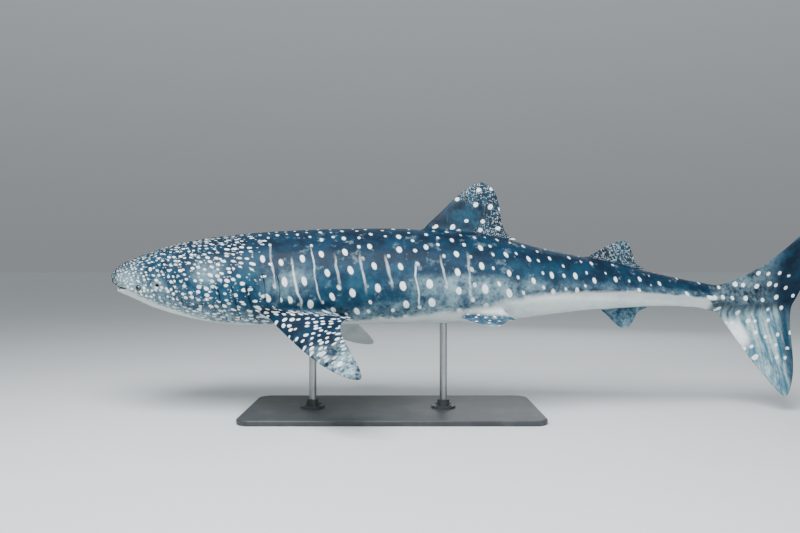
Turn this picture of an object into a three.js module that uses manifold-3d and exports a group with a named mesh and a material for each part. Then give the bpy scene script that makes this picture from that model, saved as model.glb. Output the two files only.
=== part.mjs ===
// Whale shark, life size, held still on a plain display stand.
// Millimetres, +Z up, head toward -X, left side toward -Y.
// The body is one loft of rings from the closed mouth to the tail root. Fins are lofts between a
// leading-edge curve and a trailing-edge curve. Everything is then parted by thin cuts.
import * as THREE from "three";
import { mergeVertices } from "three/addons/utils/BufferGeometryUtils.js";
import Module from "manifold-3d";

const wasm = await Module();
wasm.setup();

// ---------------------------------------------------------------- sizes, mm
// Heights are measured from the level of the eyes' upper line (0); the floor lies FLOOR below it.
const FLOOR = -1260;
const GAP = 0.5; // clear gap between neighbouring pieces
const RING_SIDES = 32; // points round the body
const HALF_RINGS = [1300, 5100]; // between these an extra ring stands midway between stations

const MOUTH = {
  gap: 8, // opening between the lips
  depth: 170, // how far the slit runs in
  cornerPower: 3.5, // how square the muzzle is, seen from above
};
const HEAD_END = 1500; // back of the head, behind the last gill slit
const TRUNK_END = 3630; // back of the pelvic fins
const TAIL_END = 5200; // root of the caudal fin

// Lips and muzzle: each ring leans, so its top, its side and its underside have their own place.
// [top s, top z, side s, half width, side z, under s, under z]
const MUZZLE = [
  [110, -160, 300, 325, -190, 118, -166],
  [82, -140, 285, 345, -188, 112, -186],
  [65, -106, 276, 362, -184, 122, -204],
  [66, -68, 280, 376, -181, 143, -216],
  [85, -29, 292, 388, -179, 170, -227],
  [116, 3, 310, 398, -178, 200, -239],
  [158, 31, 335, 408, -177, 240, -255],
  [210, 58, 366, 418, -177, 287, -276],
  [278, 84, 406, 429, -176, 342, -302],
  [360, 116, 456, 441, -173, 405, -333],
  [456, 149, 520, 455, -169, 480, -363],
  [566, 182, 600, 472, -164, 580, -396],
];
// Upright rings: [s, top z, half width, side z, under z, fullness above, fullness below]
const BODY = [
  [700, 217, 494, -157, -430, 2.25, 2.35],
  [850, 243, 512, -149, -462, 2.2, 2.4],
  [1010, 263, 522, -142, -485, 2.15, 2.4],
  [1200, 282, 529, -136, -498, 2.1, 2.4],
  [1430, 297, 527, -131, -503, 2.06, 2.4],
  [1720, 311, 513, -127, -499, 2.02, 2.4],
  [2060, 320, 490, -126, -493, 1.98, 2.4],
  [2440, 322, 463, -130, -489, 1.95, 2.35],
  [2820, 313, 434, -140, -487, 1.93, 2.3],
  [3180, 281, 398, -153, -478, 1.92, 2.2],
  [3500, 218, 356, -164, -449, 1.92, 2.1],
  [3800, 141, 308, -172, -410, 1.92, 2.05],
  [4100, 82, 258, -180, -377, 1.92, 2.0],
  [4400, 20, 212, -194, -353, 1.92, 2.0],
  [4700, -49, 172, -218, -342, 1.95, 2.0],
  [4950, -104, 146, -246, -346, 2.0, 2.0],
  [5150, -140, 127, -274, -364, 2.0, 2.0],
  [5320, -146, 104, -298, -392, 2.0, 2.0],
  [5480, -152, 80, -318, -400, 2.0, 2.0],
  [5640, -190, 57, -330, -392, 2.0, 2.0],
  [5800, -240, 34, -328, -362, 2.0, 2.0],
  [5930, -276, 12, -310, -328, 2.0, 2.0],
];
const MUZZLE_FULL = [2.5, 2.45]; // fullness above and below the side line at the muzzle

const KEEL = { from: 3050, full: 4700, fade: 5350, end: 5900, out: 46, high: 34, groove: 16 };
const TAIL_SWING = { from: 3400, over: 3100, out: 280 }; // the tail is carried gently to the right
const TAIL_CUP = { from: 5200, over: 600, out: 200, high: 800, axis: -290 }; // lobes cup to the left

// Fins. lead and trail are cubic curves from the root to the tip, thick is the root's greatest thickness.
const FINS = {
  first_dorsal_fin: {
    lead: [[2620, 0, 270], [2860, 0, 420], [2980, 0, 660], [3200, 0, 728]],
    trail: [[3508, 0, 226], [3285, 0, 296], [3460, 0, 680], [3200, 0, 728]],
    thick: 92, tip: 16, normal: [0, -1, 0], spans: 11,
  },
  second_dorsal_fin: {
    lead: [[4050, 0, 40], [4215, 0, 118], [4330, 0, 222], [4445, 0, 222]],
    trail: [[4637, 0, -22], [4490, 0, 20], [4550, 0, 215], [4445, 0, 222]],
    thick: 46, tip: 12, normal: [0, -1, 0], spans: 8,
  },
  anal_fin: {
    lead: [[4200, 0, -322], [4300, 0, -400], [4380, 0, -536], [4465, 0, -540]],
    trail: [[4654, 0, -354], [4525, 0, -388], [4545, 0, -530], [4465, 0, -540]],
    thick: 40, tip: 10, normal: [0, -1, 0], spans: 8,
  },
  pectoral_fin: {
    lead: [[1340, -300, -345], [1610, -560, -530], [1890, -950, -765], [2200, -1142, -803]],
    trail: [[2150, -500, -412], [1880, -545, -415], [2190, -950, -630], [2245, -1140, -785]],
    thick: 128, tip: 20, spans: 14,
  },
  pelvic_fin: {
    lead: [[2930, -190, -395], [3040, -350, -425], [3120, -520, -470], [3245, -560, -472]],
    trail: [[3440, -350, -432], [3330, -390, -434], [3370, -530, -466], [3245, -560, -472]],
    thick: 44, tip: 12, spans: 8,
  },
};
const CAUDAL = {
  upper: {
    lead: [[5190, 0, -190], [5640, 0, -105], [5920, 0, 100], [6500, 0, 820]],
    trail: [[6060, 0, -305], [6150, 0, -60], [6480, 0, 330], [6535, 0, 800]],
    thick: 62, tip: 16, normal: [0, -1, 0], spans: 14,
  },
  lower: {
    lead: [[5210, 0, -300], [5400, 0, -500], [5600, 0, -895], [5800, 0, -1122]],
    trail: [[6060, 0, -270], [5890, 0, -440], [6050, 0, -870], [5830, 0, -1118]],
    thick: 56, tip: 14, normal: [0, -1, 0], spans: 12,
  },
};
const LOBE_SPLIT = -287; // level at which the two tail lobes part

const EYE = { s: 402, z: -174, radius: 27, sunk: 15 };
const GILLS = { first: 1075, pitch: 116, count: 5, top: -160, under: -440, lean: 36, wide: 9, deep: 16, rise: [0, -6, 10, 40, 66] };
const JAW_CUT = { from: [190, 0], hinge: [372, 0], throat: [640, -520], wide: 1 };

const STAND = {
  centre: 2440, length: 2500, width: 1100, thick: 44, corner: 120, bevel: 8,
  rods: { front: 1750, rear: 2880 }, rodRadius: 32,
  flangeRadius: 105, flangeThick: 18, collarRadius: 52, collarHigh: 70,
  bolts: 4, boltCircle: 80, boltRadius: 13, boltHigh: 9,
};

const COLOUR = { back: 0x27424f, side: 0x395663, belly: 0xc9d3d2, fin: 0x2d4854, eye: 0x0b0e10, stand: 0x2c2f31, rod: 0x8d9294 };

// ---------------------------------------------------------------- helpers
const lerp = (a, b, t) => a + (b - a) * t;
const clamp01 = (t) => Math.min(1, Math.max(0, t));
const smooth = (t) => { t = clamp01(t); return t * t * (3 - 2 * t); };
const mix3 = (a, b, t) => a.map((v, i) => lerp(v, b[i], t));
const bezier = (p, t) => {
  const u = 1 - t, w = [u * u * u, 3 * u * u * t, 3 * u * t * t, t * t * t];
  return [0, 1, 2].map((i) => w[0] * p[0][i] + w[1] * p[1][i] + w[2] * p[2][i] + w[3] * p[3][i]);
};

// Where the tail's sideways carriage puts a point.
const swing = (s) => TAIL_SWING.out * Math.max(0, (s - TAIL_SWING.from) / TAIL_SWING.over) ** 2;
const cup = (s, z) =>
  -TAIL_CUP.out * smooth((s - TAIL_CUP.from) / TAIL_CUP.over) * (Math.abs(z - TAIL_CUP.axis) / TAIL_CUP.high) ** 1.4;
const carry = ([s, y, z]) => [s, y + swing(s) + (s > TAIL_CUP.from ? cup(s, z) : 0), z];

// All stations in one table of equal rows.
const STATIONS = [
  ...MUZZLE.map((r) => [...r, ...MUZZLE_FULL]),
  ...BODY.map(([s, top, w, side, under, nu, nl]) => [s, top, s, w, side, s, under, nu, nl]),
];
// Catmull-Rom row at ring number q, which may lie between stations.
const row = (q) => {
  const last = STATIONS.length - 1;
  const i = Math.min(last - 1, Math.max(0, Math.floor(q))), t = q - i;
  const p = [Math.max(0, i - 1), i, i + 1, Math.min(last, i + 2)].map((k) => STATIONS[k]);
  return p[1].map((_, c) => {
    const [a, b, d, e] = p.map((r) => r[c]);
    return b + 0.5 * t * (d - a + t * (2 * a - 5 * b + 4 * d - e + t * (3 * (b - d) + e - a)));
  });
};
const keelOut = (s) =>
  KEEL.out * smooth((s - KEEL.from) / (KEEL.full - KEEL.from)) * (1 - smooth((s - KEEL.fade) / (KEEL.end - KEEL.fade)));

// A point of the body's surface: ring q, angle a from the left side (0) over the back (90 degrees).
const bodyPoint = (q, a, grow = 0) => {
  const [sT, zT, sS, w0, zS, sU, zU, nu, nl] = row(q);
  const c = Math.cos(a), sn = Math.sin(a), above = sn >= 0;
  const n = above ? nu : nl, w = w0 + grow;
  const across = Math.abs(c) ** (2 / n), high = Math.abs(sn) ** (2 / n);
  const s0 = above ? sT : sU, z0 = above ? zT + grow : zU - grow;
  const round = across ** MOUTH.cornerPower;
  const s = lerp(s0, sS, round);
  const flat = 1 - smooth(q / 4); // the lips' rings lie in the plane of the mouth
  const z = lerp(zS + (z0 - zS) * high, lerp(z0, zS, round), flat);
  const k = keelOut(s);
  const up = (z - zS) / KEEL.high;
  let out = w * across + k * Math.exp(-up * up) - (KEEL.groove * k / KEEL.out) * Math.exp(-((up + 1.9) ** 2) * 1.4) * across;
  out = Math.max(out, 0);
  return [s, -Math.sign(c) * out * (Math.abs(c) < 1e-9 ? 0 : 1), z];
};

// Half width of the body at height z and station s (upright rings only).
const ringAt = (s) => {
  let lo = MUZZLE.length - 1, hi = STATIONS.length - 1;
  for (let i = 0; i < 40; i++) { const m = (lo + hi) / 2; if (row(m)[0] < s) lo = m; else hi = m; }
  return (lo + hi) / 2;
};
const flank = (s, z) => {
  const [, zT, , w, zS, , zU, nu, nl] = row(ringAt(s));
  const n = z > zS ? nu : nl, h = z > zS ? zT - zS : zS - zU;
  return w * Math.max(0, 1 - (Math.abs(z - zS) / h) ** n) ** (1 / n);
};

// Closed solid from a run of rings with the same number of points, capped at both ends.
const loft = (rings) => {
  const n = rings[0].length, pos = rings.flat(2), idx = [];
  for (let r = 0; r + 1 < rings.length; r++)
    for (let i = 0; i < n; i++) {
      const a = r * n + i, b = r * n + ((i + 1) % n), c = a + n, d = b + n;
      if ((i + r) % 2) idx.push(a, b, d, a, d, c); else idx.push(a, b, c, b, d, c);
    }
  for (const [start, turn] of [[0, false], [(rings.length - 1) * n, true]]) {
    const mid = [0, 1, 2].map((k) => rings[start / n].reduce((sum, p) => sum + p[k], 0) / n);
    const m = pos.length / 3;
    pos.push(...mid);
    for (let i = 0; i < n; i++) {
      const a = start + i, b = start + ((i + 1) % n);
      if (turn) idx.push(a, b, m); else idx.push(b, a, m);
    }
  }
  const g = new THREE.BufferGeometry();
  g.setAttribute("position", new THREE.Float32BufferAttribute(pos, 3));
  g.setIndex(idx);
  return g;
};

const solid = (geometry) => {
  const g = new THREE.BufferGeometry();
  const flatOne = geometry.index ? geometry.toNonIndexed() : geometry;
  g.setAttribute("position", flatOne.getAttribute("position"));
  const m = mergeVertices(g, 1e-3);
  let made = new wasm.Manifold(new wasm.Mesh({
    numProp: 3,
    vertProperties: new Float32Array(m.attributes.position.array),
    triVerts: new Uint32Array(m.index.array),
  }));
  if (made.volume() < 0) {
    const t = m.index.array;
    for (let i = 0; i < t.length; i += 3) [t[i + 1], t[i + 2]] = [t[i + 2], t[i + 1]];
    made = new wasm.Manifold(new wasm.Mesh({
      numProp: 3,
      vertProperties: new Float32Array(m.attributes.position.array),
      triVerts: new Uint32Array(t),
    }));
  }
  return made;
};
// Prism over an outline in the X-Z plane, across the whole width.
const slabXZ = (points, y0, y1) => {
  const shape = new THREE.Shape(points.map(([x, z]) => new THREE.Vector2(x, z)));
  const g = new THREE.ExtrudeGeometry(shape, { depth: y1 - y0, bevelEnabled: false });
  g.rotateX(Math.PI / 2);
  g.translate(0, y1, 0);
  return solid(g);
};
const wallAt = (s, wide = GAP) => slabXZ([[s - wide / 2, -2500], [s + wide / 2, -2500], [s + wide / 2, 1500], [s - wide / 2, 1500]], -2000, 2000);

// ---------------------------------------------------------------- body
const bodySolid = (grow, pocket) => {
  const rings = [];
  if (pocket) {
    // the slit between the lips, run in flat, from its blind end out to the lips
    for (const deep of [1, 0.5]) {
      const ring = [];
      for (let i = 0; i < RING_SIDES; i++) {
        const p = lipPoint((i * 2 * Math.PI) / RING_SIDES, deep);
        ring.push(p);
      }
      rings.push(ring);
    }
  }
  const last = STATIONS.length - 1;
  for (let r = 0; r <= 2 * last; r++) {
    const q = r / 2, s = row(q)[2];
    if (r % 2 && (s < HALF_RINGS[0] || s > HALF_RINGS[1])) continue;
    const ring = [];
    for (let i = 0; i < RING_SIDES; i++) {
      const a = (i * 2 * Math.PI) / RING_SIDES;
      ring.push(q === 0 ? lipPoint(a, 0) : carry(bodyPoint(q, a, grow)));
    }
    rings.push(ring);
  }
  return solid(loft(rings));
};
// The lips' edge and the slit behind it; deep runs from 0 at the edge to 1 at the blind end.
function lipPoint(a, deep) {
  const [sT, zT, sS, w, zS] = row(0);
  const c = Math.cos(a), sn = Math.sin(a);
  const across = Math.abs(c) ** (2 / MUZZLE_FULL[0]);
  const round = across ** MOUTH.cornerPower;
  const sFront = lerp(sT, sS, round), zFront = lerp(zT, zS, round);
  const s = sFront + deep * MOUTH.depth * (1 - 0.75 * round), out = w * across * (1 - 0.22 * deep);
  const plane = zFront + (s - sFront) * ((zS - zT) / (sS - sT));
  const open = MOUTH.gap / 2 * Math.sign(sn) * Math.abs(sn) ** 0.6 * (1 - 0.55 * deep);
  return [s, -Math.sign(c) * (Math.abs(c) < 1e-9 ? 0 : out), plane + open];
}
const whole = bodySolid(0, true);
const grown = bodySolid(GAP, false);

// ---------------------------------------------------------------- fins
const CHORD = [0, 0.06, 0.2, 0.42, 0.7, 1];
const foil = (t) => 5 * (0.2969 * Math.sqrt(t) - 0.126 * t - 0.3516 * t * t + 0.2843 * t ** 3 - 0.1036 * t ** 4);
const finLoft = ({ lead, trail, thick, tip, normal, spans }, side = 1) => {
  let n = normal && new THREE.Vector3(...normal);
  if (!n) {
    const a = bezier(lead, 0.5), b = bezier(trail, 0.5), c = lead[0], d = lead[3];
    n = new THREE.Vector3(...b).sub(new THREE.Vector3(...a))
      .cross(new THREE.Vector3(...d).sub(new THREE.Vector3(...c))).normalize();
  }
  const rings = [];
  for (let k = 0; k <= spans; k++) {
    const v = Math.sin((k / spans) * Math.PI / 2 * 0.985);
    const L = bezier(lead, v), T = bezier(trail, v);
    const chord = Math.hypot(...L.map((x, i) => T[i] - x));
    const t0 = Math.min(lerp(thick, tip, v ** 0.8), chord * 0.3 + 3);
    const at = (t, sign) => {
      const p = mix3(L, T, t), h = Math.max(t0 * foil(t), t === 0 ? 0 : Math.min(2, chord * 0.05 + 0.8)) * sign;
      return [p[0] + n.x * h, (p[1] + n.y * h) * side, p[2] + n.z * h];
    };
    const ring = CHORD.map((t) => at(t, 1));
    for (let i = CHORD.length - 1; i > 0; i--) ring.push(at(CHORD[i], -1));
    rings.push(ring.map(carry));
  }
  return solid(loft(rings));
};

// ---------------------------------------------------------------- parting the body
const lipPlane = (s) => lerp(MUZZLE[0][1], MUZZLE[0][4], (s - MUZZLE[0][0]) / (MUZZLE[0][2] - MUZZLE[0][0]));
const cutPath = [[JAW_CUT.from[0], lipPlane(JAW_CUT.from[0])], [JAW_CUT.hinge[0], lipPlane(JAW_CUT.hinge[0])], JAW_CUT.throat];
const jawCut = slabXZ([
  ...cutPath.map(([s, z], i) => [s + (i ? GAP : 0), z + GAP]),
  ...[...cutPath].reverse().map(([s, z], i) => [s - (i === 2 ? 0 : GAP), z - GAP]),
], -900, 900);

const biggest = (m) => m.decompose().sort((a, b) => b.volume() - a.volume());
const boxS = (s0, s1) => slabXZ([[s0, -2500], [s1, -2500], [s1, 1500], [s0, 1500]], -2000, 2000);

let headAll = whole.intersect(boxS(-200, HEAD_END - GAP / 2));
const trunk = whole.intersect(boxS(HEAD_END + GAP / 2, TRUNK_END - GAP / 2));
const tail = whole.intersect(boxS(TRUNK_END + GAP / 2, TAIL_END - GAP / 2));
const tailRoot = whole.intersect(boxS(TAIL_END + GAP / 2, 7000));

// gill slits: thin curved slots of even depth, leaning back as they go down
const SLOT_STEPS = 4;
const gillSlot = (i, side) => {
  const rings = [];
  for (let k = 0; k <= SLOT_STEPS; k++) {
    const t = k / SLOT_STEPS;
    const top = GILLS.top + GILLS.rise[i], under = GILLS.under + GILLS.rise[i] * 1.4;
    const z = lerp(top, under, t), s = GILLS.first + GILLS.pitch * i + GILLS.lean * (t - 0.5) - 18 * Math.sin(Math.PI * t);
    const y = flank(s, z), w = GILLS.wide * (0.35 + 0.65 * Math.sin(Math.PI * clamp01(0.06 + 0.88 * t))) / 2;
    rings.push([[s - w, y - GILLS.deep], [s + w, y - GILLS.deep], [s + w, y + 24], [s - w, y + 24]]
      .map(([x, out]) => [x, -side * out, z]));
  }
  return solid(loft(rings));
};
for (const side of [1, -1]) {
  for (let i = 0; i < GILLS.count; i++) headAll = headAll.subtract(gillSlot(i, side));
}

// eyes sit in round sockets just behind the corners of the mouth
const eyeRing = (() => { let best = 0, d = 1e9; for (let q = 3; q < 12; q += 0.01) { const e = Math.abs(row(q)[2] - EYE.s); if (e < d) { d = e; best = q; } } return best; })();
const eyeOut = row(eyeRing)[3] - EYE.sunk;
const ball = (r, side) => solid(new THREE.SphereGeometry(r, 12, 8).rotateX(Math.PI / 2).translate(EYE.s, -side * eyeOut, EYE.z));
const eyeLeft = ball(EYE.radius, 1), eyeRight = ball(EYE.radius, -1);
headAll = headAll.subtract(ball(EYE.radius + GAP, 1)).subtract(ball(EYE.radius + GAP, -1));

const jawParts = biggest(headAll.subtract(jawCut));
const head = jawParts[0], jaw = jawParts[1];

// tail fin: both lobes grow out of the thin end of the body
const clear = (m) => m.subtract(grown);
const caudal = tailRoot.add(finLoft(CAUDAL.upper).intersect(boxS(TAIL_END + GAP / 2, 7000)))
  .add(finLoft(CAUDAL.lower).intersect(boxS(TAIL_END + GAP / 2, 7000)));
const lobeCut = slabXZ([[5000, LOBE_SPLIT - GAP / 2], [7000, LOBE_SPLIT - GAP / 2], [7000, LOBE_SPLIT + GAP / 2], [5000, LOBE_SPLIT + GAP / 2]], -1500, 1500);
const lobes = biggest(caudal.subtract(lobeCut));
const [lobeA, lobeB] = lobes;
const upperFirst = lobeA.boundingBox().max[2] > lobeB.boundingBox().max[2];
const caudalUpper = upperFirst ? lobeA : lobeB, caudalLower = upperFirst ? lobeB : lobeA;

const fin = (name, side) => biggest(clear(finLoft(FINS[name], side)))[0];

// ---------------------------------------------------------------- stand
const S = STAND;
const baseShape = new THREE.Shape();
{
  const x0 = -S.length / 2 + S.bevel, y0 = -S.width / 2 + S.bevel, x1 = -x0, y1 = -y0, r = S.corner - S.bevel;
  baseShape.moveTo(x0 + r, y0).lineTo(x1 - r, y0).absarc(x1 - r, y0 + r, r, -Math.PI / 2, 0)
    .lineTo(x1, y1 - r).absarc(x1 - r, y1 - r, r, 0, Math.PI / 2)
    .lineTo(x0 + r, y1).absarc(x0 + r, y1 - r, r, Math.PI / 2, Math.PI)
    .lineTo(x0, y0 + r).absarc(x0 + r, y0 + r, r, Math.PI, Math.PI * 1.5);
}
const plate = solid(new THREE.ExtrudeGeometry(baseShape, {
  depth: S.thick - 2 * S.bevel, bevelEnabled: true, bevelThickness: S.bevel, bevelSize: S.bevel, bevelSegments: 1, curveSegments: 5,
}).translate(S.centre, 0, FLOOR + S.bevel));
const onBase = FLOOR + S.thick + GAP;
const upright = (r, h, x, z, seg = 24) => solid(new THREE.CylinderGeometry(r, r, h, seg).rotateX(Math.PI / 2).translate(x, 0, z + h / 2));
const rod = (x) => clear(upright(S.rodRadius, 900, x, onBase));
const flange = (x) => {
  let f = upright(S.flangeRadius, S.flangeThick, x, onBase, 28).add(upright(S.collarRadius, S.collarHigh, x, onBase, 24));
  for (let i = 0; i < S.bolts; i++) {
    const a = (i * 2 * Math.PI) / S.bolts + Math.PI / 4;
    f = f.add(solid(new THREE.CylinderGeometry(S.boltRadius, S.boltRadius, S.boltHigh, 6).rotateX(Math.PI / 2)
      .translate(x + Math.cos(a) * S.boltCircle, Math.sin(a) * S.boltCircle, onBase + S.flangeThick + S.boltHigh / 2 - 0.5)));
  }
  return f.subtract(upright(S.rodRadius + GAP, 1000, x, onBase - 20));
};

// ---------------------------------------------------------------- scene
const pieces = [
  ["head", head, "back"],
  ["lower_jaw", jaw, "belly"],
  ["trunk", trunk, "back"],
  ["tail_stalk", tail, "back"],
  ["caudal_fin_upper", caudalUpper, "fin"],
  ["caudal_fin_lower", caudalLower, "fin"],
  ["first_dorsal_fin", fin("first_dorsal_fin", 1), "fin"],
  ["second_dorsal_fin", fin("second_dorsal_fin", 1), "fin"],
  ["anal_fin", fin("anal_fin", 1), "fin"],
  ["pectoral_fin_left", fin("pectoral_fin", 1), "fin"],
  ["pectoral_fin_right", fin("pectoral_fin", -1), "fin"],
  ["pelvic_fin_left", fin("pelvic_fin", 1), "fin"],
  ["pelvic_fin_right", fin("pelvic_fin", -1), "fin"],
  ["eye_left", eyeLeft, "eye"],
  ["eye_right", eyeRight, "eye"],
  ["stand_base", plate, "stand"],
  ["stand_rod_front", rod(S.rods.front), "rod"],
  ["stand_rod_rear", rod(S.rods.rear), "rod"],
  ["stand_flange_front", flange(S.rods.front), "stand"],
  ["stand_flange_rear", flange(S.rods.rear), "stand"],
];
const FINISH = {
  back: { color: COLOUR.back, roughness: 0.5, metalness: 0 },
  belly: { color: COLOUR.belly, roughness: 0.5, metalness: 0 },
  fin: { color: COLOUR.fin, roughness: 0.5, metalness: 0 },
  eye: { color: COLOUR.eye, roughness: 0.1, metalness: 0 },
  stand: { color: COLOUR.stand, roughness: 0.55, metalness: 0.1 },
  rod: { color: COLOUR.rod, roughness: 0.35, metalness: 0.9 },
};
const group = new THREE.Group();
group.name = "whale_shark";
for (const [name, m, finish] of pieces) {
  const got = m.getMesh();
  const g = new THREE.BufferGeometry();
  const pos = new Float32Array(got.numVert * 3);
  for (let i = 0; i < got.numVert; i++) for (let k = 0; k < 3; k++) pos[3 * i + k] = got.vertProperties[i * got.numProp + k];
  g.setAttribute("position", new THREE.BufferAttribute(pos, 3));
  g.setIndex([...got.triVerts]);
  g.computeVertexNormals();
  const mesh = new THREE.Mesh(g, new THREE.MeshStandardMaterial(FINISH[finish]));
  mesh.name = name;
  group.add(mesh);
}
// the part's origin is the middle of its bounding box, on the floor
const bounds = new THREE.Box3().setFromObject(group);
group.position.set(-(bounds.min.x + bounds.max.x) / 2, -(bounds.min.y + bounds.max.y) / 2, -bounds.min.z);
group.updateMatrixWorld(true);
export default group;
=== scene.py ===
import math
import bpy
import numpy as np
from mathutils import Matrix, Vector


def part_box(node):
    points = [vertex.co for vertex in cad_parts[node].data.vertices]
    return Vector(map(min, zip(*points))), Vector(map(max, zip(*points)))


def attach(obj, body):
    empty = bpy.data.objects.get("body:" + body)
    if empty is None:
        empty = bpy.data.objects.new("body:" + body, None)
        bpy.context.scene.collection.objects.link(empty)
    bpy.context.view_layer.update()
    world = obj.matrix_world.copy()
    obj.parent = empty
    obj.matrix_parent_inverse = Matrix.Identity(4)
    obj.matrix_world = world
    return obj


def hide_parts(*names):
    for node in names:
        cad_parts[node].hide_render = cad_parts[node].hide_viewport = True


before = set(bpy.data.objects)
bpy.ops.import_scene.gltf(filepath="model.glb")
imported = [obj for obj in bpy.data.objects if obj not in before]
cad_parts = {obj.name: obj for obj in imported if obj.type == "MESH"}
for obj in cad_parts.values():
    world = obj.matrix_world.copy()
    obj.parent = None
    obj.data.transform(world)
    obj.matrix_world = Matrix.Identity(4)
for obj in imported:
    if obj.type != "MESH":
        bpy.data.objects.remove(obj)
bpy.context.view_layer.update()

# ------------------------------------------------------------------ sizes
# Metres. Shapes are written in the animal's own frame: s along the body from the snout, y to the right, z from
# the level of the lens. OFFSET carries them to the row frame.
_base_lo, _base_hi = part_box("stand_base")
OFFSET = np.array([(_base_lo[0] + _base_hi[0]) / 2 - 2.44, (_base_lo[1] + _base_hi[1]) / 2, 1.260])
MM = 0.001

MUZZLE = np.array([  # top s, top z, side s, half width, side z, under s, under z
    [110, -160, 300, 325, -190, 118, -166],
    [82, -140, 285, 345, -188, 112, -186],
    [65, -106, 276, 362, -184, 122, -204],
    [66, -68, 280, 376, -181, 143, -216],
    [85, -29, 292, 388, -179, 170, -227],
    [116, 3, 310, 398, -178, 200, -239],
    [158, 31, 335, 408, -177, 240, -255],
    [210, 58, 366, 418, -177, 287, -276],
    [278, 84, 406, 429, -176, 342, -302],
    [360, 116, 456, 441, -173, 405, -333],
    [456, 149, 520, 455, -169, 480, -363],
    [566, 182, 600, 472, -164, 580, -396],
]) * MM
BODY = [  # s, top z, half width, side z, under z, fullness above, fullness below
    [700, 217, 494, -157, -430, 2.25, 2.35],
    [850, 243, 512, -149, -462, 2.2, 2.4],
    [1010, 263, 522, -142, -485, 2.15, 2.4],
    [1200, 282, 529, -136, -498, 2.1, 2.4],
    [1430, 297, 527, -131, -503, 2.06, 2.4],
    [1720, 311, 513, -127, -499, 2.02, 2.4],
    [2060, 320, 490, -126, -493, 1.98, 2.4],
    [2440, 322, 463, -130, -489, 1.95, 2.35],
    [2820, 313, 434, -140, -487, 1.93, 2.3],
    [3180, 281, 398, -153, -478, 1.92, 2.2],
    [3500, 218, 356, -164, -449, 1.92, 2.1],
    [3800, 141, 308, -172, -410, 1.92, 2.05],
    [4100, 82, 258, -180, -377, 1.92, 2.0],
    [4400, 20, 212, -194, -353, 1.92, 2.0],
    [4700, -49, 172, -218, -342, 1.95, 2.0],
    [4950, -104, 146, -246, -346, 2.0, 2.0],
    [5150, -140, 127, -274, -364, 2.0, 2.0],
    [5320, -146, 104, -298, -392, 2.0, 2.0],
    [5480, -152, 80, -318, -400, 2.0, 2.0],
    [5640, -190, 57, -330, -392, 2.0, 2.0],
    [5800, -240, 34, -328, -362, 2.0, 2.0],
    [5930, -276, 12, -310, -328, 2.0, 2.0],
]
FULL = (2.5, 2.45)
STATIONS = [[*r, *FULL] for r in MUZZLE] + [
    [s * MM, top * MM, s * MM, w * MM, side * MM, s * MM, under * MM, nu, nl] for s, top, w, side, under, nu, nl in BODY
]
STATIONS = np.array(STATIONS)
CORNER_POWER = 3.5
MOUTH_GAP, MOUTH_DEEP = 0.009, 0.17
KEEL = dict(start=3.05, full=4.7, fade=5.35, end=5.9, out=0.046, high=0.034, groove=0.016)

FINS = {
    "first_dorsal": dict(
        lead=[[2620, 0, 270], [2860, 0, 420], [2980, 0, 660], [3200, 0, 728]],
        trail=[[3508, 0, 228], [3285, 0, 296], [3460, 0, 680], [3200, 0, 728]], thick=0.092, tip=0.016),
    "second_dorsal": dict(
        lead=[[4050, 0, 40], [4215, 0, 118], [4330, 0, 222], [4445, 0, 222]],
        trail=[[4637, 0, -20], [4490, 0, 20], [4550, 0, 215], [4445, 0, 222]], thick=0.046, tip=0.012),
    "anal": dict(
        lead=[[4200, 0, -322], [4300, 0, -400], [4380, 0, -536], [4465, 0, -540]],
        trail=[[4654, 0, -354], [4525, 0, -388], [4545, 0, -530], [4465, 0, -540]], thick=0.040, tip=0.010),
    "pectoral": dict(
        lead=[[1340, -300, -345], [1610, -560, -530], [1890, -950, -765], [2200, -1142, -803]],
        trail=[[2150, -500, -412], [1880, -545, -415], [2190, -950, -630], [2245, -1140, -785]], thick=0.128, tip=0.020,
        round=[0.95, 0.76, 0.38]),
    "pelvic": dict(
        lead=[[2930, -190, -395], [3040, -350, -425], [3120, -520, -470], [3245, -560, -472]],
        trail=[[3440, -350, -432], [3330, -390, -434], [3370, -530, -466], [3245, -560, -472]], thick=0.044, tip=0.012),
}
CAUDAL = {
    "upper": dict(lead=[[5190, 0, -190], [5640, 0, -105], [5920, 0, 100], [6500, 0, 820]],
                  trail=[[6060, 0, -305], [6150, 0, -60], [6480, 0, 330], [6535, 0, 800]], thick=0.062),
    "lower": dict(lead=[[5210, 0, -300], [5400, 0, -500], [5600, 0, -895], [5800, 0, -1122]],
                  trail=[[6060, 0, -270], [5890, 0, -440], [6050, 0, -870], [5830, 0, -1118]], thick=0.056),
}
EYE_S, EYE_Z, EYE_R, EYE_SUNK = 0.402, -0.174, 0.027, 0.015
GILL_FIRST, GILL_PITCH = 1.075, 0.116


# ------------------------------------------------------------------ small maths
def clamp01(t):
    return np.clip(t, 0.0, 1.0)


def smooth(t):
    t = clamp01(t)
    return t * t * (3 - 2 * t)


def bezier(p, t):
    p = np.asarray(p, float) * MM
    t = np.atleast_1d(np.asarray(t, float))[:, None]
    u = 1 - t
    return u ** 3 * p[0] + 3 * u * u * t * p[1] + 3 * u * t * t * p[2] + t ** 3 * p[3]


def carry(p):
    """The sideways carriage of the tail and the cupping of its lobes."""
    p = np.array(p, float)
    s, z = p[..., 0], p[..., 2]
    swing = 0.280 * np.maximum(0, (s - 3.4) / 3.1) ** 2
    cup = -0.200 * smooth((s - 5.2) / 0.6) * (np.abs(z + 0.290) / 0.8) ** 1.4
    p[..., 1] += swing + np.where(s > 5.2, cup, 0)
    return p


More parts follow.
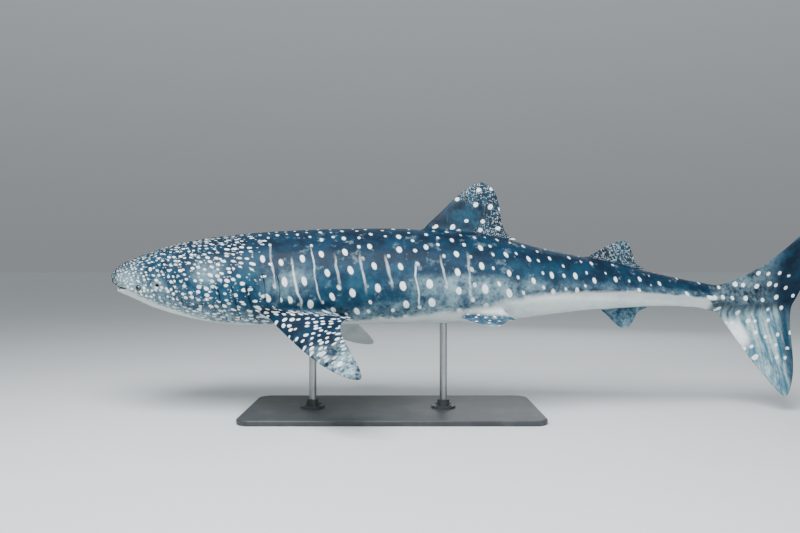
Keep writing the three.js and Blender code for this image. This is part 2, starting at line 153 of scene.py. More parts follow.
def row(q):
    last = len(STATIONS) - 1
    i = min(last - 1, max(0, int(math.floor(q))))
    t = q - i
    a, b, d, e = (STATIONS[k] for k in (max(0, i - 1), i, i + 1, min(last, i + 2)))
    return b + 0.5 * t * (d - a + t * (2 * a - 5 * b + 4 * d - e + t * (3 * (b - d) + e - a)))


def ring_at(s):
    lo, hi = float(len(MUZZLE) - 1), float(len(STATIONS) - 1)
    for _ in range(44):
        m = (lo + hi) / 2
        if row(m)[0] < s:
            lo = m
        else:
            hi = m
    return (lo + hi) / 2


def keel_out(s):
    return KEEL["out"] * smooth((s - KEEL["start"]) / (KEEL["full"] - KEEL["start"])) * (
        1 - smooth((s - KEEL["fade"]) / (KEEL["end"] - KEEL["fade"])))


def body(q, a):
    """Points of the body's surface on ring q at angles a (0 left side, 90 degrees the back)."""
    a = np.atleast_1d(np.asarray(a, float))
    sT, zT, sS, w, zS, sU, zU, nu, nl = row(q)
    c, sn = np.cos(a), np.sin(a)
    above = sn >= -1e-12
    n = np.where(above, nu, nl)
    across = np.abs(c) ** (2 / n)
    high = np.abs(sn) ** (2 / n)
    s0, z0 = np.where(above, sT, sU), np.where(above, zT, zU)
    rnd = across ** CORNER_POWER
    s = s0 + (sS - s0) * rnd
    flat = 1 - smooth(q / 4)
    z = (zS + (z0 - zS) * high) * (1 - flat) + (z0 + (zS - z0) * rnd) * flat
    k = keel_out(s)
    up = (z - zS) / KEEL["high"]
    out = w * across + k * np.exp(-up * up) - KEEL["groove"] * k / KEEL["out"] * np.exp(-((up + 1.9) ** 2) * 1.4) * across
    out = np.where(np.abs(c) < 1e-9, 0, np.maximum(out, 0))
    return np.stack([s, -np.sign(c) * out, z], -1)


def lips(a, deep):
    a = np.atleast_1d(np.asarray(a, float))
    sT, zT, sS, w, zS = row(0)[:5]
    c, sn = np.cos(a), np.sin(a)
    across = np.abs(c) ** (2 / FULL[0])
    rnd = across ** CORNER_POWER
    s_front, z_front = sT + (sS - sT) * rnd, zT + (zS - zT) * rnd
    s = s_front + deep * MOUTH_DEEP * (1 - 0.75 * rnd)
    out = w * across * (1 - 0.22 * deep)
    plane = z_front + (s - s_front) * ((zS - zT) / (sS - sT))
    gap = MOUTH_GAP / 2 * np.sign(sn) * np.abs(sn) ** 0.6 * (1 - 0.5 * min(1, deep)) * (1 if deep < 0.5 else 0.7)
    return np.stack([s, np.where(np.abs(c) < 1e-9, 0, -np.sign(c) * out), plane + gap], -1)


def foil(t):
    t = clamp01(t)
    return 5 * (0.2969 * np.sqrt(t) - 0.126 * t - 0.3516 * t * t + 0.2843 * t ** 3 - 0.1036 * t ** 4)


# ------------------------------------------------------------------ cage: channels and storage
CH = ["s", "g", "h", "u2", "side", "hb", "fu", "fv", "under", "pec", "dor", "dor2", "tail", "small", "cav", "tip", "lip",
      "eye", "u3", "uvx", "uvy"]
IX = {n: i for i, n in enumerate(CH)}
K = len(CH)
NS = 40
verts, faces, corners = [], [], []


def addv(p):
    verts.append(np.asarray(p, float))
    return len(verts) - 1


def addf(idx, data):
    faces.append(list(idx))
    corners.append([np.array(d, float) for d in data])


def chan(**kw):
    v = np.zeros(K)
    for n, x in kw.items():
        v[IX[n]] = x
    return v


# where the pale underside begins, as a share of the way from back to belly
HB_S = np.array([0.0, 0.15, 0.3, 0.45, 0.7, 1.0, 1.4, 1.9, 2.4, 2.9, 3.4, 3.9, 4.5, 5.2, 6.6])
HB_H = np.array([0.50, 0.52, 0.57, 0.62, 0.70, 0.80, 0.83, 0.80, 0.76, 0.70, 0.62, 0.565, 0.54, 0.52, 0.52])


def half_girth(s):
    return 0.46 + 0.86 * smooth((s + 0.12) / 1.45)


_ss = np.linspace(0, 7, 1401)
_cell = np.interp(_ss, [0, 0.15, 0.4, 0.7, 1.1, 1.5, 7], [0.021, 0.025, 0.036, 0.048, 0.062, 0.074, 0.074])
_u2 = np.concatenate([[0], np.cumsum((_ss[1:] - _ss[:-1]) / ((_cell[1:] + _cell[:-1]) / 2))])

# rows of trunk spots stand wider apart towards the first dorsal fin
_row = np.interp(_ss, [0, 1.3, 1.6, 2.0, 2.6, 3.2, 4.0, 4.6, 5.4, 7], [0.15, 0.15, 0.165, 0.20, 0.232, 0.215, 0.185, 0.20, 0.22, 0.22])
_u3 = np.concatenate([[0], np.cumsum((_ss[1:] - _ss[:-1]) / ((_row[1:] + _row[:-1]) / 2))])

# body atlas: x along the body (the head gets more room), y round it
def atlas_x(s):
    return 0.006 + 0.988 * (0.30 * clamp01(s / 1.5) + 0.70 * clamp01((s - 1.5) / 3.75))


ATLAS_MID, ATLAS_HALF = 0.282, 0.268


def ring_angles(i_s, jj):
    """Column angle in degrees; columns bend down towards the rear of the pectoral root."""
    a = 9.0 * jj
    amp = 11.0 * smooth((i_s - 1.34) / 0.6) * (1 - smooth((i_s - 2.0) / 0.5))
    a = a - amp * math.exp(-((jj + 4) / 2.6) ** 2) + amp * math.exp(-((24 - jj) / 2.6) ** 2)
    return math.radians(a)


# ring positions, by ring number q
ring_q = [float(k) for k in range(12)]
for s_ in [0.645, 0.70, 0.76, 0.82, 0.88, 0.935]:
    ring_q.append(ring_at(s_))
g0 = GILL_FIRST - GILL_PITCH / 6
k = -2
while g0 + GILL_PITCH / 3 * k < 1.645:
    ring_q.append(ring_at(g0 + GILL_PITCH / 3 * k))
    k += 1
s_ = 1.70
while s_ < 5.17:
    ring_q.append(ring_at(s_))
    s_ += 0.065 if s_ < 1.95 else 0.0815
ring_q = np.array(ring_q)
NR = len(ring_q)
ring_s = np.array([row(q)[2] for q in ring_q])

cols = np.arange(-10, 31)  # from the belly up the left side, over the back, down the right side
GRID = np.zeros((NR, NS), int)
RD = np.zeros((NR, 41, K))  # body channels at each ring and column
PTS = []
for i, q in enumerate(ring_q):
    ang = np.array([ring_angles(ring_s[i], jj) for jj in cols])
    pts = body(q, ang) if q > 0 else lips(ang, 0)
    PTS.append(pts)
    for jj in range(-10, 30):
        GRID[i, jj % NS] = addv(carry(pts[jj + 10]))
    fine = body(q, np.radians(np.linspace(90, -90, 361)))
    arc = np.concatenate([[0], np.cumsum(np.linalg.norm(np.diff(fine, axis=0), axis=1))])
    for jj in cols:
        left = jj <= 10
        a = math.degrees(ang[jj + 10])
        d = np.interp(90 - a if left else a - 90, np.linspace(0, 180, 361), arc)
        s = pts[jj + 10][0]
        h = d / arc[-1]
        RD[i, jj + 10] = chan(
            s=s, g=d if left else -d, h=h, u2=np.interp(s, _ss, _u2), u3=np.interp(s, _ss, _u3), side=0.0 if left else 1.0,
            hb=np.interp(s, HB_S, HB_H), lip=1 - smooth(q / 2.5),
            uvx=atlas_x(s + 0.0), uvy=ATLAS_MID + (ATLAS_HALF if left else -ATLAS_HALF) * h)
# the fleck coordinate follows the surface along each column, so flecks stay even over the blunt snout
for jj in cols:
    k_ = 0.0
    for i in range(NR):
        s = RD[i, jj + 10, IX["s"]]
        if i == 0:
            k_ = np.interp(s, _ss, _u2)
        else:
            a_, b_ = PTS[i - 1][jj + 10], PTS[i][jj + 10]
            step_ = max(abs(float(b_[0] - a_[0])), 0.75 * float(np.linalg.norm((b_ - a_)[[0, 2]])))
            k_ += step_ / np.interp((a_[0] + b_[0]) / 2, _ss, _cell)
        RD[i, jj + 10, IX["u2"]] = k_
# the leaning muzzle rings share s at many columns, so the atlas follows the ring number there
for i, q in enumerate(ring_q):
    if q < 12:
        base = 0.006 + 0.988 * 0.30 * 0.40 * (0.14 + 0.86 * q / 11.0)
        RD[i, :, IX["uvx"]] = base
    else:
        t = clamp01((ring_s[i] - 0.6) / 0.9)
        RD[i, :, IX["uvx"]] = 0.006 + 0.988 * (0.30 * (0.40 + 0.60 * t) if ring_s[i] < 1.5 else 0.30 + 0.70 * (ring_s[i] - 1.5) / 3.68)

taken = set()


def near_ring(s):
    return int(np.argmin(np.abs(ring_s - s)))


def D(i, jj, side=0):
    """Channels at a ring and column; the belly column has a left and a right reading."""
    if jj > 30 or (jj == 30 and side == 1):
        jj -= 40
    return RD[i, jj + 10].copy()


def block(i0, i1, j0, j1, levels):
    """Replaces a block of the tube by rings that grow out of it or sink into it.
    levels: list of functions (i, jj, side) -> (position, channels); the last also gives the inner points."""
    for i in range(i0, i1):
        for j in range(j0, j1):
            cell = (i, j if j < 30 else j - 40)
            assert cell not in taken, cell
            taken.add(cell)
    loop = [(i, j0) for i in range(i0, i1)] + [(i1, j) for j in range(j0, j1)] + [(i, j1) for i in range(i1, i0, -1)] + [
        (i0, j) for j in range(j1, j0, -1)]
    jm = (j0 + j1) / 2
    prev = {p: GRID[p[0], p[1] % NS] for p in loop}
    for n, level in enumerate(levels):
        last = n == len(levels) - 1
        keys = loop if not last else [(i, j) for i in range(i0, i1 + 1) for j in range(j0, j1 + 1)]
        now = {p: addv(carry(level(p[0], p[1], 0)[0])) for p in keys}
        for a, b in zip(loop, loop[1:] + loop[:1]):
            side = 0 if (a[1] + b[1]) / 2 < jm else 1
            if (a[1] + b[1]) / 2 == jm:
                side = 0
            first = (lambda p: level(p[0], p[1], side)[1])
            old = [prev_data(a, side), prev_data(b, side)] if n else [root_data(level, a, side), root_data(level, b, side)]
            addf([prev[a], prev[b], now[b], now[a]], [old[0], old[1], first(b), first(a)])
        if last:
            for i in range(i0, i1):
                for j in range(j0, j1):
                    side = 0 if j + 0.5 < jm else 1
                    q4 = [(i, j), (i + 1, j), (i + 1, j + 1), (i, j + 1)]
                    addf([now[p] for p in q4], [level(p[0], p[1], side)[1] for p in q4])
        prev = now
        prev_level = level

        def prev_data(p, side, lv=prev_level):
            return lv(p[0], p[1], side)[1]


def root_data(level, p, side):
    """Channels of the body's own edge points, with the fin's chart where a level gives one."""
    d = D(p[0], p[1], side)
    f = getattr(level, "root", None)
    return f(p[0], p[1], side, d) if f else d


def surf(i, jj):
    return body(ring_q[i], [ring_angles(ring_s[i], jj)])[0] if ring_q[i] > 0 else lips([ring_angles(ring_s[i], jj)], 0)[0]


# ------------------------------------------------------------------ fins
def chart(x0, y0, scale, flip=False):
    return dict(x0=x0, y0=y0, k=scale, flip=flip)


def make_fin(name, i0, i1, j0, vs, mask, charts, mirror=False, median=None, clear=None, first_chord=None):
    f = FINS[name]
    j1, jm = j0 + 2, j0 + 1
    n = i1 - i0
    sgn = -1.0 if mirror else 1.0
    lead0, trail0 = np.array(f["lead"], float), np.array(f["trail"], float)
    if median:
        nrm = np.array([0, -1.0, 0])
    else:
        a, b = bezier(lead0, 0.5)[0], bezier(trail0, 0.5)[0]
        nrm = np.cross(b - a, (lead0[3] - lead0[0]) * MM)
        nrm /= np.linalg.norm(nrm)
        if nrm[2] < 0:
            nrm = -nrm
    x = np.arange(n + 1) / n
    ts = 0.022 + 0.958 * x ** 1.18
    vs = np.array(vs)
    ws = (vs - vs[0]) / (1 - vs[0])
    lead = bezier(lead0, vs)
    trail = bezier(trail0, ws)
    span = np.concatenate([[0.06], 0.06 + np.cumsum(np.linalg.norm(np.diff((lead + trail) / 2, axis=0), axis=1))])
    # which side of the block is the fin's first side (the animal's left, or the fin's upper face)
    levels = []
    for kx, v in enumerate(vs):
        L, T = lead[kx], trail[kx]
        if "round" in f:  # the corners of the tip are rounded off
            keep = np.interp(v, [0.92, 0.945, 0.98, 0.996], [1.0] + f["round"])
            mid_p = L + (T - L) * 0.48
            L, T = mid_p + (L - mid_p) * keep, mid_p + (T - mid_p) * keep
        chordlen = np.linalg.norm(T - L)
        thick = min(f["thick"] + (f["tip"] - f["thick"]) * v ** 0.8, chordlen * 0.3 + 0.003)
        last = kx == len(vs) - 1

        def level(i, jj, side, kx=kx, v=v, L=L, T=T, chordlen=chordlen, thick=thick, last=last):
            r = i - i0
            centre = jj == jm
            t = ts[r]
            if centre and r == 0:
                t = 0.0
            elif centre and r == n:
                t = 1.0
            p = L + (T - L) * t
            half = 0.0 if centre else max(thick * foil(t), min(0.003, chordlen * 0.05 + 0.0008))
            # columns run up the left side, so the lower column number is the left or lower face
            face = -1.0 if jj < jm else 1.0
            if median == "below":
                face = -face
            if median:
                p = p + np.array([0, face * half, 0])
                if clear:
                    lim = clear(p[0], kx, t)
                    if lim is not None:
                        p[2] = max(p[2], lim) if median == "above" else min(p[2], lim)
            else:
                up = jj > jm if not mirror else jj < jm
                p = p + nrm * half * (0 if centre else (1.0 if up else -1.0))
            if last and centre:
                d = (lead[-1] - lead[-3]) / np.linalg.norm(lead[-1] - lead[-3])
                p = p + d * 0.006
            if mirror:
                p = p * np.array([1, -1, 1])
            d = D(i, jj, side)
            d[IX["s"]] = p[0]
            c = charts[side]
            cu, cv = t * chordlen + (L[0] - lead[0][0]), span[kx] + (0.012 if last and centre else 0)
            d[IX["fu"]], d[IX["fv"]] = cu, cv
            if c.get("rot"):
                d[IX["uvx"]], d[IX["uvy"]] = c["x0"] + c["k"] * cv, c["y0"] + c["k"] * cu
            else:
                d[IX["uvx"]], d[IX["uvy"]] = c["x0"] + c["k"] * cu, c["y0"] + c["k"] * cv
            d[IX[mask]] = 1.0
            d[IX["tip"]] = v
            if median:
                d[IX["under"]] = 0
            else:
                face_up = (side == 1) if not mirror else (side == 0)
                d[IX["under"]] = 0.5 if centre else (0.0 if face_up else 1.0)
            return p, d

        if kx == 0:
            def root(i, jj, side, d, level=level):
                r = i - i0
                t = ts[r]
                if jj == jm and r == 0:
                    t = 0.0
                elif jj == jm and r == n:
                    t = 1.0
                c = charts[side]
                cu, cv = t * np.linalg.norm(trail[0] - lead[0]), 0.0
                p1, d1 = level(i, jj, side)
                gap = float(np.linalg.norm(p1 - surf(i, jj)))
                d[IX["fu"]], d[IX["fv"]] = cu, span[0] - gap
                if c.get("rot"):
                    d[IX["uvx"]], d[IX["uvy"]] = c["x0"], c["y0"] + c["k"] * cu
                else:
                    d[IX["uvx"]], d[IX["uvy"]] = c["x0"] + c["k"] * cu, c["y0"]
                d[IX["under"]] = d1[IX["under"]]
                return d

            level.root = root
        levels.append(level)
    block(i0, i1, j0, j1, levels)


def top_at(s):
    return row(ring_at(s))[1]


def under_at(s):
    return row(ring_at(s))[6]


def clear_above(amounts):
    def f(s, kx, t):
        if kx >= len(amounts):
            return None
        a, b = amounts[kx]
        return top_at(s) + a + (b - a) * t
    return f


def clear_below(amounts):
    def f(s, kx, t):
        if kx >= len(amounts):
            return None
        a, b = amounts[kx]
        return under_at(s) - a - (b - a) * t
    return f


SC = 0.17
make_fin("first_dorsal", near_ring(2.665), near_ring(3.43), 9, [0.17, 0.26, 0.37, 0.49, 0.61, 0.73, 0.84, 0.92, 0.972, 0.995], "dor",
         [chart(0.545, 0.572, SC), chart(0.705, 0.572, SC)], median="above", clear=clear_above([(0.035, 0.010), (0.09, 0.035)]))
make_fin("second_dorsal", near_ring(4.10), near_ring(4.57), 9, [0.2, 0.34, 0.5, 0.66, 0.8, 0.91, 0.975, 0.996], "dor2",
         [chart(0.868, 0.572, SC), chart(0.868, 0.626, SC)], median="above", clear=clear_above([(0.02, 0.008), (0.05, 0.03)]))
make_fin("anal", near_ring(4.245), near_ring(4.585), 29, [0.2, 0.36, 0.52, 0.68, 0.82, 0.92, 0.98, 0.996], "small",
         [chart(0.545, 0.677, 0.15), chart(0.622, 0.677, 0.15)], median="below", clear=clear_below([(0.018, 0.008), (0.05, 0.03)]))
PV = [0.13, 0.2, 0.29, 0.38, 0.47, 0.56, 0.65, 0.74, 0.82, 0.89, 0.945, 0.98, 0.996]
PSC = 0.158


def rotchart(x0, y0, k):
    c = chart(x0, y0, k)
    c["rot"] = True
    return c


make_fin("pectoral", near_ring(1.375), near_ring(1.955), -5, PV, "pec",
         [rotchart(0.54, 0.735, PSC), rotchart(0.54, 0.868, PSC)])
make_fin("pectoral", near_ring(1.375), near_ring(1.955), 23, PV, "pec",
         [rotchart(0.77, 0.735, PSC), rotchart(0.77, 0.868, PSC)], mirror=True)
LV = [0.27, 0.36, 0.47, 0.58, 0.69, 0.79, 0.88, 0.945, 0.98, 0.996]
make_fin("pelvic", near_ring(2.98), near_ring(3.37), -6, LV, "small",
         [chart(0.70, 0.677, 0.10), chart(0.755, 0.677, 0.10)])
make_fin("pelvic", near_ring(2.98), near_ring(3.37), 24, LV, "small",
         [chart(0.81, 0.677, 0.10), chart(0.865, 0.677, 0.10)], mirror=True)


# ------------------------------------------------------------------ gill slits, eyes, spiracles, nostrils
def surf_normal(i, jj):
    q = ring_q[i]
    a = ring_angles(ring_s[i], jj)
    du = body(q + 0.05, [a])[0] - body(max(0.01, q - 0.05), [a])[0]
    dv = body(q, [a + 0.03])[0] - body(q, [a - 0.03])[0]
    nrm = np.cross(du, dv)
    nrm /= np.linalg.norm(nrm)
    p = body(q, [a])[0]
    out = np.array([0, p[1], p[2] + 0.13])
    return nrm if np.dot(nrm, out) > 0 else -nrm


def blend_data(i0, i1, j0, j1, i, jj, f, cav):
    """Channels drawn in towards the block's middle line."""
    d = D(i, jj)
    c = (D(i0, (j0 + j1) // 2) + D(i1, (j0 + j1) // 2) + D(i0, (j0 + j1 + 1) // 2) + D(i1, (j0 + j1 + 1) // 2)) / 4
    out = d * (1 - f) + c * f
    out[IX["side"]] = d[IX["side"]]
    out[IX["cav"]] = cav
    return out


def gill(i0, j0, j1, lean):
    i1 = i0 + 1
    # (share of the width kept, share of the length kept, lift of the front edge, lift of the back edge, darkness of the
    # painted shade in the slit)
    steps = [(0.62, 0.97, 0.006, -0.001, 0.0), (0.30, 0.93, 0.0115, -0.004, 0.0), (0.11, 0.90, 0.009, -0.009, 0.22),
             (0.09, 0.88, -0.010, -0.018, 0.9), (0.07, 0.84, -0.028, -0.034, 1.0)]

    def mk(w, ln, up_front, up_back, cav):
        def level(i, jj, side):
            mid = (j0 + j1) / 2
            x = mid + (jj - mid) * ln
            lo = int(math.floor(x))
            fr = x - lo
            hi = min(lo + 1, max(j0, j1))
            A = surf(i0, lo) * (1 - fr) + surf(i0, hi) * fr
            B = surf(i1, lo) * (1 - fr) + surf(i1, hi) * fr
            m = (A + B) / 2
            e = abs(jj - mid) / ((j1 - j0) / 2)
            half = (A - m) if i == i0 else (B - m)
            nn = surf_normal(i0, (j0 + j1) // 2)
            lift = (up_front if i == i0 else up_back) * (1 - 0.65 * e ** 2)
            p = m + half * w + nn * lift
            # the slit bows forward in its middle, and its flap lies over it
            p[0] += lean * (x - mid) + 0.014 * (1 - e ** 2) * (1 - w) + (0.004 * (1 - e) if i == i0 and w < 0.5 else 0)
            f = 1 - w
            d = D(i, jj)
            o = D(i1 if i == i0 else i0, jj)
            d2 = d * (1 - f / 2) + o * (f / 2)
            c = (D(i0, int(round(mid))) + D(i1, int(round(mid)))) / 2
            d2[IX["uvy"]] = c[IX["uvy"]] + (d[IX["uvy"]] - c[IX["uvy"]]) * ln
            d2[IX["cav"]] = cav
            return p, d2
        return level
    block(i0, i1, j0, j1, [mk(*s) for s in steps])


def gill_row(n):
    return near_ring(GILL_FIRST + GILL_PITCH * n - GILL_PITCH / 6)


for n, (jl, jh) in enumerate([(-6, 0), (-6, 0), (-6, 0), (-2, 1), (-2, 1)]):
    i0 = gill_row(n)
    gill(i0, jl, jh, -0.006)
    gill(i0, 20 - jh, 20 - jl, 0.006)


def pit(ic, jc, centre, radii, wide=1.0):
    """Round hole or socket on a 2 x 2 block round grid point (ic, jc): radii is a list of (radius, height, darkness),
    the darkness being painted shade in the hole.
    """
    i0, i1, j0, j1 = ic - 1, ic + 1, jc - 1, jc + 1
    nn = surf_normal(ic, jc)
    e1 = np.array([1.0, 0, 0])
    e1 -= nn * np.dot(e1, nn)
    e1 /= np.linalg.norm(e1)
    e2 = np.cross(nn, e1)
    if e2[2] < 0:
        e2 = -e2
    left = jc <= 10
    mid_p, mid_d = surf(ic, jc), D(ic, jc)
    a_p, b_p = surf(ic + 1, jc) - surf(ic - 1, jc), surf(ic, jc + 1) - surf(ic, jc - 1)
    a_d, b_d = D(ic + 1, jc) - D(ic - 1, jc), D(ic, jc + 1) - D(ic, jc - 1)
    flat_inv = np.linalg.inv(np.array([[a_p[0], b_p[0]], [a_p[2], b_p[2]]]))

    def mk(r, up, cav):
        def level(i, jj, side):
            du, dv = i - ic, (jj - jc) * (1 if left else -1)
            if du == 0 and dv == 0:
                p = centre + nn * (up - 0.002)
            else:
                a = math.atan2(dv, du)
                p = centre + e1 * math.cos(a) * r * wide + e2 * math.sin(a) * r + nn * up
            wa, wb = flat_inv @ np.array([p[0] - mid_p[0], p[2] - mid_p[2]])
            o = mid_d + a_d * wa + b_d * wb
            o[IX["side"]] = mid_d[IX["side"]]
            o[IX["cav"]] = cav
            o[IX["eye"]] = clamp01(1 - r / 0.06)
            return p, o
        return level
    block(i0, i1, j0, j1, [mk(*r) for r in radii])


eye_i = 8
eye_row = row(8)
EYE_OUT = eye_row[3] - EYE_SUNK  # ball centre
for jc, sy in ((0, -1.0), (20, 1.0)):
    nn = surf_normal(eye_i, jc)
    c = np.array([EYE_S, sy * (EYE_OUT + EYE_SUNK), EYE_Z])
    pit(eye_i, jc, c, [(0.044, 0.0015, 0.0), (0.034, 0.0055, 0.0), (0.0275, 0.0065, 0.05), (0.0232, 0.0035, 0.25),
                       (0.0222, -0.003, 0.8), (0.0215, -0.012, 1.0)], wide=1.04)
for jc, sy in ((0, -1.0), (20, 1.0)):
    p = surf(10, jc)
    pit(11, jc, surf(11, jc) + np.array([-0.035, 0, 0.012]), [(0.040, 0.001, 0), (0.025, 0.0035, 0.0), (0.0155, 0.001, 0.15), (0.0105, -0.008, 0.8), (0.009, -0.02, 1.0)], wide=1.25)


def nostril(i0, j0, j1):
    i1 = i0 + 1
    # (share of the width kept, share of the length kept, lift, darkness of the painted shade in the hole)
    steps = [(0.6, 0.9, 0.003, 0.0), (0.34, 0.78, 0.004, 0.15), (0.2, 0.7, -0.002, 0.8), (0.14, 0.6, -0.014, 1.0)]

    def mk(w, ln, up, cav):
        def level(i, jj, side):
            mid = (j0 + j1) / 2
            pts = {jx: (surf(i0, jx) + surf(i1, jx)) / 2 for jx in range(j0, j1 + 1)}
            cpt = pts[int(mid)]
            m = cpt + (pts[jj] - cpt) * ln
            half = (surf(i, jj) - pts[jj]) * w
            nn = surf_normal(i0, int(mid))
            p = m + half + nn * up
            d = D(i, jj)
            o = D(i1 if i == i0 else i0, jj)
            f = 1 - w
            d2 = d * (1 - f / 2) + o * (f / 2)
            c = (D(i0, int(mid)) + D(i1, int(mid))) / 2
            d2[IX["uvy"]] = c[IX["uvy"]] + (d[IX["uvy"]] - c[IX["uvy"]]) * ln
            d2[IX["cav"]] = cav
            return p, d2
        return level
    block(i0, i1, j0, j1, [mk(*s) for s in steps])


nostril(1, 3, 5)
nostril(1, 15, 17)

# ------------------------------------------------------------------ tube faces
for i in range(NR - 1):
    for jj in range(-10, 30):
        if (i, jj) in taken:
            continue
        addf([GRID[i, jj % NS], GRID[i + 1, jj % NS], GRID[i + 1, (jj + 1) % NS], GRID[i, (jj + 1) % NS]],
             [D(i, jj), D(i + 1, jj), D(i + 1, jj + 1), D(i, jj + 1)])

# ------------------------------------------------------------------ mouth: the lips roll in to a shallow slit, darkened with painted shade
ringA, dataA = [GRID[0, jj % NS] for jj in range(NS)], None
prev = {jj: GRID[0, jj % NS] for jj in range(-10, 30)}
prev_c = {jj: D(0, jj) for jj in range(-10, 31)}
for n, deep in enumerate([0.06, 0.25, 0.9]):
    pts = lips([math.radians(9 * jj) for jj in range(-10, 30)], deep)
    now = {jj: addv(carry(pts[jj + 10])) for jj in range(-10, 30)}
    now_c = {}
    for jj in range(-10, 31):
        d = D(0, jj)
        # painted shade: the rolled-in rings get the cavity value that the hide paints near black
        d[IX["cav"]] = [0.55, 0.95, 1.0][n]
        d[IX["uvx"]] = 0.006 + (d[IX["uvx"]] - 0.006) * [0.75, 0.5, 0.3][n]
        d[IX["lip"]] = 1
        now_c[jj] = d
    for jj in range(-10, 30):
        jn = jj + 1
        addf([prev[jj], prev[jn if jn < 30 else -10], now[jn if jn < 30 else -10], now[jj]], [prev_c[jj], prev_c[jn], now_c[jn], now_c[jj]])
    prev, prev_c = now, now_c
mids = {}
for m in range(1, 20):
    up, dn = m, -m if m <= 10 else 40 - m
    a, b = verts[prev[up]], verts[prev[dn if dn >= -10 and dn < 30 else dn]]
    mids[m] = addv((a + b) / 2 + np.array([0.02, 0, 0]))


def lowcol(m):
    return -m if m <= 10 else 40 - m


def mid_c(m):
    d = (prev_c[m] + prev_c[lowcol(m)]) / 2
    d[IX["uvx"]] = 0.0062
    d[IX["uvy"]] = prev_c[m][IX["uvy"]]
    d[IX["cav"]] = 1
    return d


def mid_c2(m):
    d = mid_c(m)
    d[IX["uvy"]] = prev_c[lowcol(m)][IX["uvy"]]
    return d


for m in range(1, 19):
    addf([prev[m], prev[m + 1], mids[m + 1], mids[m]], [prev_c[m], prev_c[m + 1], mid_c(m + 1), mid_c(m)])
    a, b = lowcol(m), lowcol(m + 1)
    ca, cb = prev_c[a], prev_c[b]
    if m == 10:  # the seam on the belly
        ca = prev_c[30]
    addf([prev[a], prev[b], mids[m + 1], mids[m]], [ca, cb, mid_c2(m + 1), mid_c2(m)])
addf([prev[0], prev[1], mids[1], prev[-1]], [prev_c[0], prev_c[1], mid_c(1), prev_c[-1]])
addf([prev[20], prev[19], mids[19], prev[21]], [prev_c[20], prev_c[19], mid_c(19), prev_c[21]])

# ------------------------------------------------------------------ tail fin: the tube opens out into both lobes
KC = 15
root_i = NR - 1
root_pts = body(ring_q[root_i], [math.radians(9 * jj) for jj in range(-10, 31)])
s_root = ring_s[root_i]
zT, zS, zU = row(ring_q[root_i])[1], row(ring_q[root_i])[4], row(ring_q[root_i])[6]
FORK = np.array([6.045, 0, -0.288])
TIPS = {l: bezier(CAUDAL[l]["trail"], [1])[0] for l in CAUDAL}


def edge(curve, start, r, tip):
    t = np.linspace(0.0, 1, 600)
    p = np.vstack([bezier(curve, t), tip[None, :]])
    # join the curve where it has left the tube
    keep = p[:, 0] > start[0] + 0.16
    p = np.vstack([start[None, :], p[keep]])
    seg = np.concatenate([[0], np.cumsum(np.linalg.norm(np.diff(p, axis=0), axis=1))])
    seg /= seg[-1]
    return np.array([np.interp(r, seg, p[:, c]) for c in range(3)]).T


def coons(lobe, m, r):
    """Plan point of the lobe: m = 0..10 from the leading edge to the fin's axis, r = 0..1 from the root to the trailing edge."""
    up = lobe == "upper"
    start = np.array([s_root, 0, zT if up else zU])
    x = m / 10.0
    LE = edge(CAUDAL[lobe]["lead"], start, [r], TIPS[lobe])[0]
    ax0, ax1 = np.array([s_root, 0, zS]), FORK
    AX = ax0 + (ax1 - ax0) * r
    jj = (10 - m) if up else (-10 + m)
    lo = min(int(math.floor(jj + 10)), 39)
    R0 = (root_pts[lo] * (lo + 1 - jj - 10) + root_pts[lo + 1] * (jj + 10 - lo)) * np.array([1, 0, 1])
    TEc = bezier(CAUDAL[lobe]["trail"], [1 - x])[0]
    TEc = TEc + (FORK - bezier(CAUDAL[lobe]["trail"], [0])[0]) * x ** 3
    tip = bezier(CAUDAL[lobe]["trail"], [1])[0]
    P = (1 - x) * LE + x * AX + (1 - r) * R0 + r * TEc - ((1 - x) * (1 - r) * start + (1 - x) * r * tip + x * (1 - r) * ax0 + x * r * ax1)
    return P


_t = np.linspace(0, 1, 240)
LE_LINE = {l: edge(CAUDAL[l]["lead"], np.array([s_root, 0, zT if l == "upper" else zU]), _t, TIPS[l]) for l in CAUDAL}
TE_LINE = np.vstack([np.array([coons("upper", m, 1.0) for m in np.linspace(0, 10, 80)]), np.array([coons("lower", m, 1.0) for m in np.linspace(10, 0, 80)])])


def dist_line(p, line):
    return float(np.min(np.linalg.norm(line[:, [0, 2]] - p[[0, 2]], axis=1)))


def tail_half(p, lobe, r, m):
    """Half thickness of the tail fin at a plan point."""
    dl, dt = dist_line(p, LE_LINE[lobe]), dist_line(p, TE_LINE)
    chordlen = max(dl + dt, 1e-4)
    t = dl / chordlen
    finhalf = min(CAUDAL[lobe]["thick"], 0.13 * chordlen + 0.004) * foil(t)
    st = row(ring_at(min(p[0], 5.92)))
    w, z_s = st[3], st[4]
    hgt = (st[1] - z_s) if p[2] > z_s else (z_s - st[6])
    inside = max(0.0, 1 - ((p[2] - z_s) / max(hgt, 1e-3)) ** 2)
    tube = w * math.sqrt(inside)
    k = float(keel_out(p[0]))
    up = (p[2] - z_s) / KEEL["high"]
    tube += k * math.exp(-up * up)
    if r < 0.12:  # leave the tube's own section smoothly
        jj = (10 - m) if lobe == "upper" else (-10 + m)
        own = abs(root_pts[jj + 10][1])
        tube = own * (1 - r / 0.12) + tube * (r / 0.12)
    big, small_ = max(finhalf, tube), min(finhalf, tube)
    return max((big ** 4 + small_ ** 4) ** 0.25, 0.0026) * (1.0 if r < 0.9 else 1 - 0.3 * (r - 0.9) / 0.1)


def tail_point(m_signed, r):
    """m_signed runs -10 (bottom) .. 0 (axis) .. 10 (top)."""
    lobe = "upper" if m_signed >= 0 else "lower"
    m = 10 - abs(m_signed)
    P = coons(lobe, m, r)
    half = 0.0 if m == 0 else tail_half(P, lobe, r, m)
    return P, half


TAIL_CHART = [dict(x0=0.008, y0=0.568), dict(x0=0.272, y0=0.568)]
TSC = 0.188


